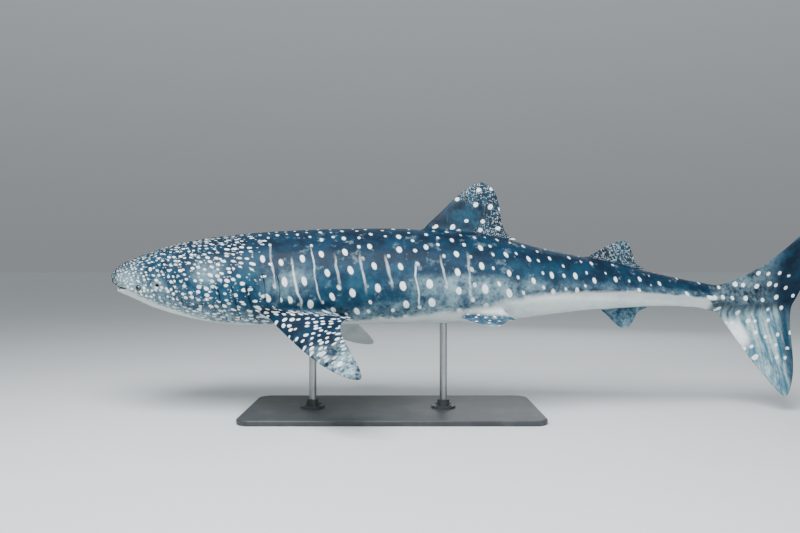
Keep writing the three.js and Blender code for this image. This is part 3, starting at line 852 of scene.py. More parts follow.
def tail_data(m_signed, side, P, r, extra=0.0):
    c = TAIL_CHART[side]
    jj = m_signed if side == 0 else 20 - m_signed
    d = RD[root_i, jj + 10].copy()
    d[IX["s"]] = P[0]
    d[IX["u2"]] = np.interp(P[0], _ss, _u2)
    d[IX["fu"]], d[IX["fv"]] = P[0], P[2]
    d[IX["tail"]] = float(smooth(r / 0.10))
    d[IX["tip"]] = clamp01((abs(P[2] + 0.29) - 0.1) / 0.9)
    d[IX["hb"]] = 2.0 * float(smooth(r / 0.3)) + d[IX["hb"]] * (1 - float(smooth(r / 0.3)))
    d[IX["uvx"]] = c["x0"] + TSC * (P[0] - 5.12) * 1.0 + extra
    d[IX["uvy"]] = c["y0"] + TSC * (P[2] + 1.14)
    return d


rs = list(np.linspace(0, 1, KC + 1)[1:-1]) + [0.988]
ring_prev = {jj: GRID[root_i, jj % NS] for jj in range(-10, 30)}
info_prev = {ms: (root_pts[ms + 10] * np.array([1, 0, 1]), 0.0) for ms in range(-10, 11)}
for n, r in enumerate(rs):
    last = n == len(rs) - 1
    now, info = {}, {}
    for ms in range(-10, 11):
        rr = 1.0 if (last and abs(ms) == 10) else r
        P, half = tail_point(ms, rr)
        if last:
            half = min(half, 0.0034)
        info[ms] = (P, rr)
        now[ms] = addv(carry(P + np.array([0, -half, 0])))
        if abs(ms) < 10:
            now[20 - ms] = addv(carry(P + np.array([0, half, 0])))
    now[30 - 40] = now[-10]
    for ms in range(-10, 10):
        P0, r0 = info_prev[ms]
        P1, r1 = info_prev[ms + 1]
        Q0, q0 = info[ms]
        Q1, q1 = info[ms + 1]
        for side in (0, 1):
            def col(x):
                if side == 0:
                    return x
                y = 20 - x
                return y if y < 30 else -10
            addf([ring_prev[col(ms)], ring_prev[col(ms + 1)], now[col(ms + 1)], now[col(ms)]],
                 [tail_data(ms, side, P0, r0), tail_data(ms + 1, side, P1, r1), tail_data(ms + 1, side, Q1, q1), tail_data(ms, side, Q0, q0)])
    ring_prev, info_prev = now, info
mid_v = {ms: addv(carry(coons("upper" if ms >= 0 else "lower", 10 - abs(ms), 1.0) + np.array([0.002, 0, 0]))) for ms in range(-9, 10)}
midP = {ms: coons("upper" if ms >= 0 else "lower", 10 - abs(ms), 1.0) + np.array([0.002, 0, 0]) for ms in range(-9, 10)}
for ms in range(-9, 9):
    for side in (0, 1):
        c = (lambda x: x) if side == 0 else (lambda x: 20 - x)
        addf([ring_prev[c(ms)], ring_prev[c(ms + 1)], mid_v[ms + 1], mid_v[ms]],
             [tail_data(ms, side, info_prev[ms][0], 1), tail_data(ms + 1, side, info_prev[ms + 1][0], 1),
              tail_data(ms + 1, side, midP[ms + 1], 1, 0.0012), tail_data(ms, side, midP[ms], 1, 0.0012)])
for e, ms in ((10, 9), (-10, -9)):
    addf([ring_prev[e], ring_prev[ms], mid_v[ms], ring_prev[20 - ms]],
         [tail_data(e, 0, info_prev[e][0], 1), tail_data(ms, 0, info_prev[ms][0], 1), tail_data(ms, 0, midP[ms], 1, 0.0012),
          tail_data(ms, 0, midP[ms] + np.array([0.004, 0, 0.004 * np.sign(e)]), 1, 0.002)])

# ------------------------------------------------------------------ tidy the cage: one closed surface, faces outward
V0 = np.array(verts)
F0 = np.array(faces)
C0 = np.array(corners)
# the column on the back's middle line is stored as left, so a face beside it on the right is set to right as a whole
C0[:, :, IX["side"]] = (C0[:, :, IX["side"]].mean(1) > 0.4)[:, None]
used = np.unique(F0)
remap = -np.ones(len(V0), int)
remap[used] = np.arange(len(used))
V0, F0 = V0[used], remap[F0]
edge_faces = {}
for fi, f in enumerate(F0.tolist()):
    for kk in range(4):
        a, b = f[kk], f[(kk + 1) % 4]
        edge_faces.setdefault((min(a, b), max(a, b)), []).append((fi, a < b))
bad = [e for e, l in edge_faces.items() if len(l) != 2]
print("cage", len(V0), "points", len(F0), "faces, edges not shared by two faces:", len(bad))
assert not bad, [V0[list(e)] for e in bad[:4]]
flip = np.zeros(len(F0), bool)
seen = np.zeros(len(F0), bool)
neigh = [[] for _ in range(len(F0))]
for l in edge_faces.values():
    (fa, da), (fb, db) = l
    neigh[fa].append((fb, da == db))
    neigh[fb].append((fa, da == db))
stack = [0]
seen[0] = True
while stack:
    fi = stack.pop()
    for fb, same in neigh[fi]:
        if not seen[fb]:
            seen[fb] = True
            flip[fb] = flip[fi] ^ same
            stack.append(fb)
assert seen.all()
F0[flip] = F0[flip][:, ::-1]
C0[flip] = C0[flip][:, ::-1]
tri = np.concatenate([F0[:, [0, 1, 2]], F0[:, [0, 2, 3]]])
vol = np.sum(V0[tri[:, 0]] * np.cross(V0[tri[:, 1]], V0[tri[:, 2]])) / 6
if vol < 0:
    F0, C0 = F0[:, ::-1].copy(), C0[:, ::-1].copy()


# ------------------------------------------------------------------ Catmull-Clark surface through the cage points
def topo(F, nv):
    a = F.reshape(-1)
    b = np.roll(F, -1, axis=1).reshape(-1)
    key = np.minimum(a, b) * nv + np.maximum(a, b)
    uniq, inv = np.unique(key, return_inverse=True)
    return uniq // nv, uniq % nv, inv.reshape(F.shape)


def gather(idx, values, n):
    return np.stack([np.bincount(idx, weights=values[:, c], minlength=n) for c in range(values.shape[1])], 1)


def limit(V, F):
    nv = len(V)
    ea, eb, _ = topo(F, nv)
    n = np.bincount(F.reshape(-1), minlength=nv)[:, None].astype(float)
    es = gather(ea, V[eb], nv) + gather(eb, V[ea], nv)
    fs = gather(F.reshape(-1), V[np.roll(F, -2, axis=1)].reshape(-1, 3), nv)
    return (n * n * V + 4 * es + fs) / (n * (n + 5))


def subdivide(V, F, C):
    nv, nf = len(V), len(F)
    ea, eb, fe = topo(F, nv)
    ne = len(ea)
    fp = V[F].mean(1)
    ef = gather(fe.reshape(-1), np.repeat(fp, 4, axis=0), ne)
    ep = (V[ea] + V[eb] + ef) / 4
    n = np.bincount(F.reshape(-1), minlength=nv)[:, None].astype(float)
    fa = gather(F.reshape(-1), np.repeat(fp, 4, axis=0), nv) / n
    mid = (V[ea] + V[eb]) / 2
    ra = (gather(ea, mid, nv) + gather(eb, mid, nv)) / n
    vp = (fa + 2 * ra + (n - 3) * V) / n
    V2 = np.concatenate([vp, ep, fp])
    cm = C.mean(1)
    F2, C2 = [], []
    for kx in range(4):
        prv = (kx + 3) % 4
        nxt = (kx + 1) % 4
        F2.append(np.stack([F[:, kx], nv + fe[:, kx], nv + ne + np.arange(nf), nv + fe[:, prv]], 1))
        C2.append(np.stack([C[:, kx], (C[:, kx] + C[:, nxt]) / 2, cm, (C[:, kx] + C[:, prv]) / 2], 1))
    return V2, np.concatenate(F2), np.concatenate(C2)


cage = V0.copy()
for _ in range(7):
    cage += 0.85 * (V0 - limit(cage, F0))
V1, F1, C1 = subdivide(cage, F0, C0)
V2, F2, C2 = subdivide(V1, F1, C1)
V2 = limit(V2, F2)
nv = len(V2)
print("skin", nv, "points", len(F2), "faces")


# ------------------------------------------------------------------ relief on the fine surface
def normals(V, F):
    nf = np.cross(V[F[:, 2]] - V[F[:, 0]], V[F[:, 3]] - V[F[:, 1]])
    n = gather(F.reshape(-1), np.repeat(nf, 4, axis=0), len(V))
    return n / np.maximum(np.linalg.norm(n, axis=1, keepdims=True), 1e-12)


cnt = np.bincount(F2.reshape(-1), minlength=nv)


def at_points(name):
    return np.bincount(F2.reshape(-1), weights=C2[:, :, IX[name]].reshape(-1), minlength=nv) / cnt


Vs, Vh = at_points("s"), at_points("h")
finmask = np.clip(sum(at_points(n) for n in ("pec", "dor", "dor2", "small")), 0, 1)
tailmask = at_points("tail")
cavm = at_points("cav")
N2 = normals(V2, F2)
onbody = (1 - finmask) * (1 - tailmask) * (1 - smooth(cavm * 3))


def ridge(h0, width, amp, s0, s1, fade0, fade1):
    """A raised line along the body; h0 gives its place as a function of s."""
    env = smooth((Vs - s0) / fade0) * (1 - smooth((Vs - s1 + fade1) / fade1))
    G = half_girth(Vs) * np.interp(Vs, [0, 1.3, 2.5, 3.5, 4.4, 5.2], [1, 1, 0.93, 0.78, 0.52, 0.33])
    d = (Vh - h0(Vs)) * G
    return amp * env * np.exp(-(d / width) ** 2)


disp = np.zeros(nv)
disp += ridge(lambda s: 0 * s, 0.040, 0.006, 0.9, 2.75, 0.6, 0.3)
disp += ridge(lambda s: np.interp(s, [0.8, 2.0, 3.4, 4.6], [0.15, 0.155, 0.17, 0.2]), 0.024, 0.0026, 0.9, 4.4, 0.7, 0.8)
disp += ridge(lambda s: np.interp(s, [0.9, 2.0, 3.2, 4.2, 4.8, 5.15], [0.335, 0.33, 0.325, 0.33, 0.37, 0.47]), 0.026, 0.0045, 1.1, 5.2, 0.7, 0.25)
disp += ridge(lambda s: np.interp(s, [1.6, 2.4, 3.3], [0.56, 0.545, 0.52]), 0.030, 0.0045, 1.8, 3.7, 0.7, 0.6)



def groove(s0, z0, s1, z1, wide, deep, out_min):
    """A crease on both sides along a line of the side view."""
    Px, Pz = V2[:, 0], V2[:, 2]
    dx_, dz_ = s1 - s0, z1 - z0
    tt = np.clip(((Px - s0) * dx_ + (Pz - z0) * dz_) / (dx_ ** 2 + dz_ ** 2), 0, 1)
    dd = np.hypot(Px - s0 - tt * dx_, Pz - z0 - tt * dz_)
    return -deep * np.exp(-(dd / wide) ** 2) * np.sin(np.pi * np.clip(tt * 0.8 + 0.2, 0, 1)) * (np.abs(V2[:, 1]) > out_min)


disp += groove(0.290, -0.196, 0.372, -0.232, 0.011, 0.007, 0.27)
disp += groove(0.300, -0.176, 0.352, -0.166, 0.010, 0.004, 0.30)
# faint folds on the throat and along the flank behind the gills
wob = np.sin(Vs * 23.0 + 3 * np.sin(Vh * 21)) * np.sin(Vh * 60 + 2.2 * np.sin(Vs * 9))
disp += 0.0012 * wob * smooth((Vh - 0.25) / 0.4)
V3 = V2 + N2 * (disp * onbody)[:, None]

skin_mesh = bpy.data.meshes.new("shark_skin")
P = V3 + OFFSET
skin_mesh.vertices.add(nv)
skin_mesh.vertices.foreach_set("co", P.astype(np.float32).reshape(-1))
skin_mesh.loops.add(len(F2) * 4)
skin_mesh.loops.foreach_set("vertex_index", F2.astype(np.int32).reshape(-1))
skin_mesh.polygons.add(len(F2))
skin_mesh.polygons.foreach_set("loop_start", (np.arange(len(F2)) * 4).astype(np.int32))
skin_mesh.polygons.foreach_set("loop_total", np.full(len(F2), 4, np.int32))
skin_mesh.update(calc_edges=True)
skin_mesh.validate()
skin_mesh.polygons.foreach_set("use_smooth", np.ones(len(F2), bool))
print("polygons kept", len(skin_mesh.polygons), len(F2))


def put(name, a, b, c):
    att = skin_mesh.attributes.new(name, "FLOAT_VECTOR", "CORNER")
    data = np.stack([C2[:, :, IX[n]] if n else np.zeros(C2.shape[:2]) for n in (a, b, c)], -1)
    att.data.foreach_set("vector", data.astype(np.float32).reshape(-1))


put("k_body", "s", "g", "h")
put("k_head", "u2", "side", "hb")
put("k_fin", "fu", "fv", "under")
put("k_mask1", "pec", "dor", "dor2")
put("k_mask2", "tail", "small", "cav")
put("k_mask3", "tip", "lip", "eye")
put("k_rows", "u3", None, None)
uv = skin_mesh.uv_layers.new(name="OFBake")
uv.data.foreach_set("uv", np.stack([C2[:, :, IX["uvx"]], C2[:, :, IX["uvy"]]], -1).astype(np.float32).reshape(-1))
skin = bpy.data.objects.new("shark_skin", skin_mesh)
bpy.context.scene.collection.objects.link(skin)


# ------------------------------------------------------------------ shader helpers
class Net:
    def __init__(self, name):
        self.mat = bpy.data.materials.new(name)
        self.mat.use_nodes = True
        self.nt = self.mat.node_tree
        self.nt.nodes.clear()

    def node(self, kind, **props):
        n = self.nt.nodes.new(kind)
        for k_, v_ in props.items():
            setattr(n, k_, v_)
        return n

    def link(self, sock, value):
        if isinstance(value, bpy.types.NodeSocket):
            self.nt.links.new(value, sock)
        else:
            sock.default_value = value

    def m(self, op, a, b=None, c=None, clamp=False):
        n = self.node("ShaderNodeMath", operation=op, use_clamp=clamp)
        self.link(n.inputs[0], a)
        if b is not None:
            self.link(n.inputs[1], b)
        if c is not None:
            self.link(n.inputs[2], c)
        return n.outputs[0]

    def add(self, a, b): return self.m("ADD", a, b)
    def sub(self, a, b): return self.m("SUBTRACT", a, b)
    def mul(self, a, b): return self.m("MULTIPLY", a, b)
    def div(self, a, b): return self.m("DIVIDE", a, b)
    def mx(self, a, b): return self.m("MAXIMUM", a, b)
    def mn(self, a, b): return self.m("MINIMUM", a, b)
    def floor(self, a): return self.m("FLOOR", a)
    def inv(self, a): return self.m("SUBTRACT", 1.0, a)
    def mad(self, a, b, c): return self.m("MULTIPLY_ADD", a, b, c)
    def sat(self, a): return self.m("ADD", a, 0.0, clamp=True)

    def step(self, x, lo, hi, a=0.0, b=1.0):
        n = self.node("ShaderNodeMapRange", interpolation_type="SMOOTHSTEP")
        self.link(n.inputs["Value"], x)
        self.link(n.inputs["From Min"], lo)
        self.link(n.inputs["From Max"], hi)
        n.inputs["To Min"].default_value = a
        n.inputs["To Max"].default_value = b
        return n.outputs["Result"]

    def lin(self, x, lo, hi, a=0.0, b=1.0):
        n = self.node("ShaderNodeMapRange", interpolation_type="LINEAR", clamp=True)
        self.link(n.inputs["Value"], x)
        n.inputs["From Min"].default_value = lo
        n.inputs["From Max"].default_value = hi
        n.inputs["To Min"].default_value = a
        n.inputs["To Max"].default_value = b
        return n.outputs["Result"]

    def lerp(self, f, a, b):
        n = self.node("ShaderNodeMix", data_type="FLOAT")
        self.link(n.inputs[0], f)
        self.link(n.inputs[2], a)
        self.link(n.inputs[3], b)
        return n.outputs[0]

    def mix(self, f, a, b, kind="MIX"):
        n = self.node("ShaderNodeMix", data_type="RGBA", blend_type=kind)
        self.link(n.inputs[0], f)
        for sock, v_ in ((n.inputs[6], a), (n.inputs[7], b)):
            if isinstance(v_, tuple) and len(v_) == 3:
                v_ = (*v_, 1.0)
            self.link(sock, v_)
        return n.outputs[2]

    def xyz(self, x, y, z=0.0):
        n = self.node("ShaderNodeCombineXYZ")
        for i_, v_ in enumerate((x, y, z)):
            self.link(n.inputs[i_], v_)
        return n.outputs[0]

    def split(self, v_):
        n = self.node("ShaderNodeSeparateXYZ")
        self.link(n.inputs[0], v_)
        return n.outputs[0], n.outputs[1], n.outputs[2]

    def attr(self, name):
        n = self.node("ShaderNodeAttribute", attribute_name=name)
        return self.split(n.outputs["Vector"])

    def coords(self):
        return self.node("ShaderNodeTexCoord").outputs["Object"]

    def noise(self, vec, scale, detail=3.0, rough=0.55, dist=0.0, dims="3D"):
        n = self.node("ShaderNodeTexNoise", noise_dimensions=dims)
        self.link(n.inputs["Vector"], vec)
        n.inputs["Scale"].default_value = scale
        n.inputs["Detail"].default_value = detail
        n.inputs["Roughness"].default_value = rough
        n.inputs["Distortion"].default_value = dist
        return n.outputs[0]

    def voronoi(self, vec, scale, rand=1.0, feature="F1", dims="3D", smooth_=0.0):
        n = self.node("ShaderNodeTexVoronoi", feature=feature, voronoi_dimensions=dims)
        self.link(n.inputs["Vector"], vec)
        n.inputs["Scale"].default_value = scale
        n.inputs["Randomness"].default_value = rand
        return n

    def white(self, x, y, z=0.0):
        n = self.node("ShaderNodeTexWhiteNoise", noise_dimensions="3D")
        self.link(n.inputs["Vector"], self.xyz(x, y, z))
        return n.outputs["Value"], self.split(n.outputs["Color"])

    def bump(self, height, dist, strength=1.0, normal=None):
        n = self.node("ShaderNodeBump")
        n.inputs["Strength"].default_value = strength
        n.inputs["Distance"].default_value = dist
        self.link(n.inputs["Height"], height)
        if normal is not None:
            self.link(n.inputs["Normal"], normal)
        return n.outputs[0]

    def finish(self, colour, rough, normal=None, metallic=0.0, spec=0.5, coat=0.0, coat_rough=0.1, ior=1.45):
        b = self.node("ShaderNodeBsdfPrincipled")
        self.link(b.inputs["Base Color"], colour if isinstance(colour, bpy.types.NodeSocket) else (*colour, 1.0))
        self.link(b.inputs["Roughness"], rough)
        b.inputs["Metallic"].default_value = metallic
        b.inputs["Specular IOR Level"].default_value = spec
        b.inputs["IOR"].default_value = ior
        b.inputs["Coat Weight"].default_value = coat
        b.inputs["Coat Roughness"].default_value = coat_rough
        if normal is not None:
            self.link(b.inputs["Normal"], normal)
        o = self.node("ShaderNodeOutputMaterial")
        self.nt.links.new(b.outputs[0], o.inputs[0])
        return self.mat


def lin_rgb(r, g, b):
    f = lambda c: c / 12.92 if c <= 0.04045 else ((c + 0.055) / 1.055) ** 2.4
    return tuple(f(x / 255.0) for x in (r, g, b))


# ------------------------------------------------------------------ hide
def hide_material():
    n = Net("whale_shark_hide")
    s, g, h = n.attr("k_body")
    u2, side, hb = n.attr("k_head")
    fu, fv, under = n.attr("k_fin")
    m_pec, m_dor, m_dor2 = n.attr("k_mask1")
    m_tail, m_small, cav = n.attr("k_mask2")
    tip, lip, eye = n.attr("k_mask3")
    pos = n.coords()

    back_dark = lin_rgb(6, 26, 43)
    back_mid = lin_rgb(12, 46, 68)
    flank = lin_rgb(45, 89, 108)
    pale = lin_rgb(142, 168, 176)
    belly = lin_rgb(212, 220, 218)
    white = lin_rgb(240, 245, 243)
    u3, _, _ = n.attr("k_rows")
    sgn = n.mad(side, -2.0, 1.0)
    ga = n.m("ABSOLUTE", g)

    big = n.noise(pos, 1.6, 3, 0.6)
    mid = n.noise(pos, 7.0, 4, 0.62)
    fine = n.noise(pos, 34.0, 4, 0.65)
    grain = n.noise(pos, 150.0, 3, 0.6)

    # --- ground colour: dark back, clouded flank, pale underside with an uneven edge
    wobble = n.mad(n.sub(mid, 0.5), 0.10, n.mul(n.sub(big, 0.5), 0.05))
    hh = n.add(h, wobble)
    lift = n.step(n.add(hh, n.mul(n.inv(n.step(s, 0.9, 1.7)), 0.08)), 0.20, 0.74)
    cloud = n.step(n.mad(fine, 0.28, n.mul(mid, 0.85)), 0.42, 0.86)
    ground = n.mix(n.step(mid, 0.35, 0.68), back_dark + (1.0,), back_mid + (1.0,))
    flank_c = n.mix(cloud, n_c(back_mid, 1.15), flank + (1.0,))
    ground = n.mix(lift, ground, flank_c)
    low = n.mul(n.step(n.sub(hh, hb), n.lin(s, 0.6, 1.8, -0.26, -0.17), 0.0), n.lin(s, 3.2, 3.9, 1.0, 0.40))
    ground = n.mix(n.mul(low, n.step(n.mad(fine, 0.55, n.mul(mid, 0.75)), 0.42, 0.95)), ground, pale + (1.0,))
    under_m = n.step(n.sub(hh, hb), -0.020, 0.050)
    # paler clouds on the cheek and the nape; on the flank below the first dorsal fin a painted highlight, a pale patch
    # standing for caustic light
    cheek = n.inv(n.step(n.m("SQRT", n.add(n.m("POWER", n.div(n.sub(s, 0.97), 0.20), 2.0), n.m("POWER", n.div(n.sub(h, 0.44), 0.11), 2.0))), 0.2, 1.0))
    # painted highlight: pale patch of caustic light on the flank below the first dorsal fin
    caustic_highlight = n.inv(n.step(n.m("SQRT", n.add(n.m("POWER", n.div(n.sub(s, 3.05), 0.75), 2.0), n.m("POWER", n.div(n.sub(h, 0.53), 0.10), 2.0))), 0.25, 1.0))
    nape = n.inv(n.step(n.m("SQRT", n.add(n.m("POWER", n.div(n.sub(s, 1.62), 0.30), 2.0), n.m("POWER", n.div(n.sub(h, 0.50), 0.13), 2.0))), 0.2, 1.0))
    ground = n.mix(n.mul(n.mx(n.mul(nape, 0.50), n.mx(n.mul(cheek, 0.60), n.mul(caustic_highlight, 0.75))), n.step(n.mad(fine, 0.35, n.mul(mid, 0.65)), 0.30, 0.70)), ground, pale + (1.0,))

    # --- trunk and tail: upright rows of oval spots that lean back a little as they come down the flank
    wave = n.mul(n.sub(n.noise(n.xyz(g, n.mul(s, 0.5), 3.0), 1.7, 1, 0.5), 0.5), 0.38)
    xrow = n.add(n.sub(u3, n.mul(n.sub(ga, 0.30), n.lin(s, 1.4, 2.8, 1.25, 0.42))), wave)

    def rows(off, dg, seed, r_lo, r_hi, tall, jit_x, jit_y, keep, soft):
        sx = n.add(xrow, off)
        cx = n.floor(sx)
        fx = n.sub(sx, cx)
        w0, _ = n.white(cx, seed)
        gy = n.add(n.div(g, dg), n.mul(w0, 0.62))
        cy = n.floor(gy)
        fy = n.sub(gy, cy)
        v0, (r1, r2, r3) = n.white(cx, cy, seed + 0.37)
        dx = n.mul(n.sub(fx, n.mad(n.sub(r1, 0.5), jit_x, 0.5)), n.lin(s, 1.4, 2.3, 0.2, 0.235))
        dy = n.mul(n.mul(n.sub(fy, n.mad(n.sub(r2, 0.5), jit_y, 0.5)), dg / tall), n.lin(h, 0.05, 0.35, 0.76, 1.0))
        wob = n.mul(n.sub(n.noise(pos, 24.0, 2, 0.5), 0.5), 0.010)
        dist = n.add(n.m("SQRT", n.add(n.mul(dx, dx), n.mul(dy, dy))), wob)
        grow = n.lin(h, 0.06, 0.58, r_lo, r_hi)
        tail_shrink = n.lin(s, 3.0, 4.5, 1.0, 0.70)
        rad = n.mul(n.mul(grow, tail_shrink), n.mad(r3, 0.30, 0.85))
        there = n.m("GREATER_THAN", v0, keep)
        spot = n.inv(n.step(dist, n.sub(rad, soft), n.add(rad, soft)))
        near = n.inv(n.step(dist, n.add(rad, 0.011), n.add(rad, 0.015)))
        return n.mul(spot, there), n.mul(near, there), cx, fx

    big_rows, near_big, _, _ = rows(0.5, 0.165, 1.3, 0.0140, 0.0272, 1.32, 0.16, 0.30, 0.04, 0.0055)
    small_rows, _, hx, hfx = rows(0.0, 0.120, 5.9, 0.0112, 0.0160, 1.15, 0.22, 0.35, 0.12, 0.005)
    # --- thin upright bars take the place of the small spots lower on the trunk
    v0, (q1, q2, q3) = n.white(hx, 11.0, 2.0)
    lo = n.mad(q1, 0.26, 0.16)
    hi = n.mad(q2, 0.14, 0.52)
    bar_zone = n.mul(n.mul(n.step(s, 1.38, 1.5), n.inv(n.step(s, 2.9, 3.25))), n.m("GREATER_THAN", v0, 0.12))
    win = n.mul(n.mul(n.step(h, n.sub(lo, 0.035), n.add(lo, 0.035)), n.inv(n.step(h, n.sub(hi, 0.04), n.add(hi, 0.04)))), bar_zone)
    sway = n.mul(n.sub(n.noise(n.xyz(n.mul(g, 1.0), hx, 7.0), 4.2, 2, 0.5), 0.5), 0.34)
    bd = n.m("ABSOLUTE", n.mul(n.add(n.sub(hfx, 0.5), sway), 0.2))
    bwid = n.mul(n.mad(q3, 0.009, 0.0095), n.lin(n.noise(n.xyz(g, hx, 2.0), 6.0, 2, 0.5), 0.3, 0.7, 0.55, 1.35))
    bar = n.mul(n.mul(n.inv(n.step(bd, n.mul(bwid, 0.05), bwid)), win), n.mul(n.lin(n.noise(pos, 17.0, 3, 0.6), 0.3, 0.6, 0.36, 0.78), n.mad(q2, 0.45, 0.55)))
    trunk_spots = n.mx(big_rows, n.mx(n.mul(n.mul(small_rows, n.lin(s, 4.3, 4.9, 0.92, 0.0)), n.inv(win)), bar))
    # faint smudges between the rows
    smudge = n.mul(n.step(n.noise(pos, 11.0, 4, 0.65), 0.56, 0.70), n.mul(n.step(h, 0.06, 0.16), 0.30))
    ground = n.mix(n.mul(smudge, n.step(s, 1.3, 1.6)), ground, pale + (1.0,))

    # --- head: crowded flecks that grow from the snout to the gills and run with the flow
    warp1 = n.mul(n.sub(n.noise(pos, 4.0, 2, 0.5), 0.5), 1.1)
    warp2 = n.mul(n.sub(n.noise(pos, 3.4, 2, 0.5), 0.5), 1.0)
    hx_ = n.add(u2, warp1)
    hy_ = n.add(n.mul(n.mul(h, 29.0), sgn), warp2)
    vor = n.voronoi(n.xyz(hx_, hy_, 0.0), 1.0, 0.70, dims="2D")
    c1, c2, c3 = n.split(vor.outputs["Color"])
    going = n.step(n.add(s, n.mad(n.sub(mid, 0.5), 0.16, n.mul(n.sub(h, 0.40), -0.22))), 1.20, 1.52)
    r_head = n.mul(n.mad(c1, 0.15, 0.185), n.lin(s, 0.15, 0.7, 0.88, 1.0))
    edge = n.lin(s, 0.15, 0.9, 0.09, 0.055)
    px_, py_, _ = n.split(vor.outputs["Position"])
    fx_ = n.sub(hx_, px_)
    fy_ = n.mul(n.sub(hy_, py_), n.lin(h, 0.15, 0.5, 1.5, 1.08))
    fdist = n.m("SQRT", n.add(n.mul(fx_, fx_), n.mul(fy_, fy_)))
    fleck = n.inv(n.step(fdist, n.sub(r_head, edge), n.add(r_head, edge)))
    fleck = n.mul(fleck, n.mul(n.m("GREATER_THAN", c2, n.mad(going, 1.05, 0.03)), n.lin(c3, 0.0, 0.5, 0.60, 1.0)))
    vor2 = n.voronoi(n.xyz(hx_, hy_, 0.0), 2.1, 0.95, dims="2D")
    d1, d2, d3 = n.split(vor2.outputs["Color"])
    small = n.mul(n.inv(n.step(vor2.outputs["Distance"], n.mad(d1, 0.12, 0.06), n.mad(d1, 0.12, 0.20))), n.m("GREATER_THAN", d2, n.mad(going, 0.4, 0.66)))
    head_spots = n.mx(fleck, n.mul(small, 0.45))
    # crossing from flecks to rows
    cross = n.step(n.add(s, n.mad(n.sub(mid, 0.5), 0.30, n.mul(n.sub(h, 0.40), -0.20))), 1.34, 1.42)
    spots = n.mx(n.mul(head_spots, n.inv(n.mul(near_big, cross))), n.mul(trunk_spots, cross))
    # flecks fade on the pale underside
    fade = n.inv(n.step(n.sub(hh, hb), -0.015, 0.055))
    spots_b = n.mul(spots, fade)
    snout_pale = n.mul(n.inv(n.step(s, 0.16, 0.50)), n.step(h, 0.25, 0.52))
    lip_pale = n.mul(n.step(lip, 0.35, 0.9), 0.7)

    # painted light: pale upright streaks of water caustics on the lower side of the head, over and ahead of the gills
    caustic_streaks = n.mul(n.step(n.noise(n.xyz(n.mul(s, 34.0), n.mul(h, 5.0), side), 1.0, 3, 0.6, 0.3), 0.50, 0.68), n.mul(n.step(s, 0.50, 0.70), n.inv(n.step(s, 1.05, 1.35))))
    caustic_streaks = n.mul(caustic_streaks, n.mul(n.step(n.sub(hh, hb), -0.20, -0.06), 0.55))
    ground = n.mix(caustic_streaks, ground, pale + (1.0,))
    col = n.mix(n.mx(n.mul(snout_pale, 0.60), lip_pale), ground, pale + (1.0,))
    belly_c = n.mix(n.mul(n.step(n.mad(fine, 0.45, n.mul(mid, 0.55)), 0.42, 0.68), 0.65), belly + (1.0,), lin_rgb(176, 190, 192) + (1.0,))
    col = n.mix(under_m, col, belly_c)
    spot_tone = n.mix(n.step(h, 0.02, 0.30), lin_rgb(204, 218, 222) + (1.0,), white + (1.0,))
    col = n.mix(n.mul(spots_b, 0.95), col, spot_tone)

    # --- pectoral fins: dark above with flecks in rows, greyer and clouded towards the tip, pale below
    pv = n.xyz(n.mad(fu, 15.5, n.mul(n.sub(n.noise(pos, 5.0, 2), 0.5), 1.0)), n.mad(fv, 20.5, n.mul(n.sub(n.noise(pos, 4.0, 2), 0.5), 1.0)), 0.0)
    vp = n.voronoi(pv, 1.0, 0.52, dims="2D")
    e1, e2, e3 = n.split(vp.outputs["Color"])
    pr = n.mad(e1, 0.13, 0.185)
    pfleck = n.mul(n.inv(n.step(vp.outputs["Distance"], n.sub(pr, 0.06), n.add(pr, 0.06))), n.m("GREATER_THAN", e2, 0.07))
    tipc = n.step(n.add(tip, n.mul(n.sub(mid, 0.5), 0.35)), 0.46, 0.86)
    vp3 = n.voronoi(n.xyz(n.mul(fu, 9.0), n.mul(fv, 9.0), 0.0), 1.0, 0.9, dims="2D")
    e4, e5, e6 = n.split(vp3.outputs["Color"])
    bigp = n.mul(n.inv(n.step(vp3.outputs["Distance"], 0.17, 0.25)), n.m("GREATER_THAN", e4, 0.45))
    pfl = n.lerp(tipc, pfleck, n.mx(n.mul(bigp, 0.85), n.mul(pfleck, 0.24)))
    pg = n.mix(n.step(mid, 0.35, 0.7), back_dark + (1.0,), back_mid + (1.0,))
    pg = n.mix(n.mul(tipc, n.step(n.mad(fine, 0.6, n.mul(mid, 0.5)), 0.42, 0.68)), pg, n_c(pale, 0.85))
    pcol = n.mix(n.mul(pfl, 0.93), pg, white + (1.0,))
    pbelly = n.mix(n.step(mid, 0.35, 0.75), belly + (1.0,), lin_rgb(186, 196, 196) + (1.0,))
    pcol = n.mix(n.step(n.add(under, n.mul(n.sub(mid, 0.5), 0.25)), 0.38, 0.62), pcol, pbelly)
    edge_pec = n.step(m_pec, 0.02, 0.35)
    col = n.mix(edge_pec, col, pcol)

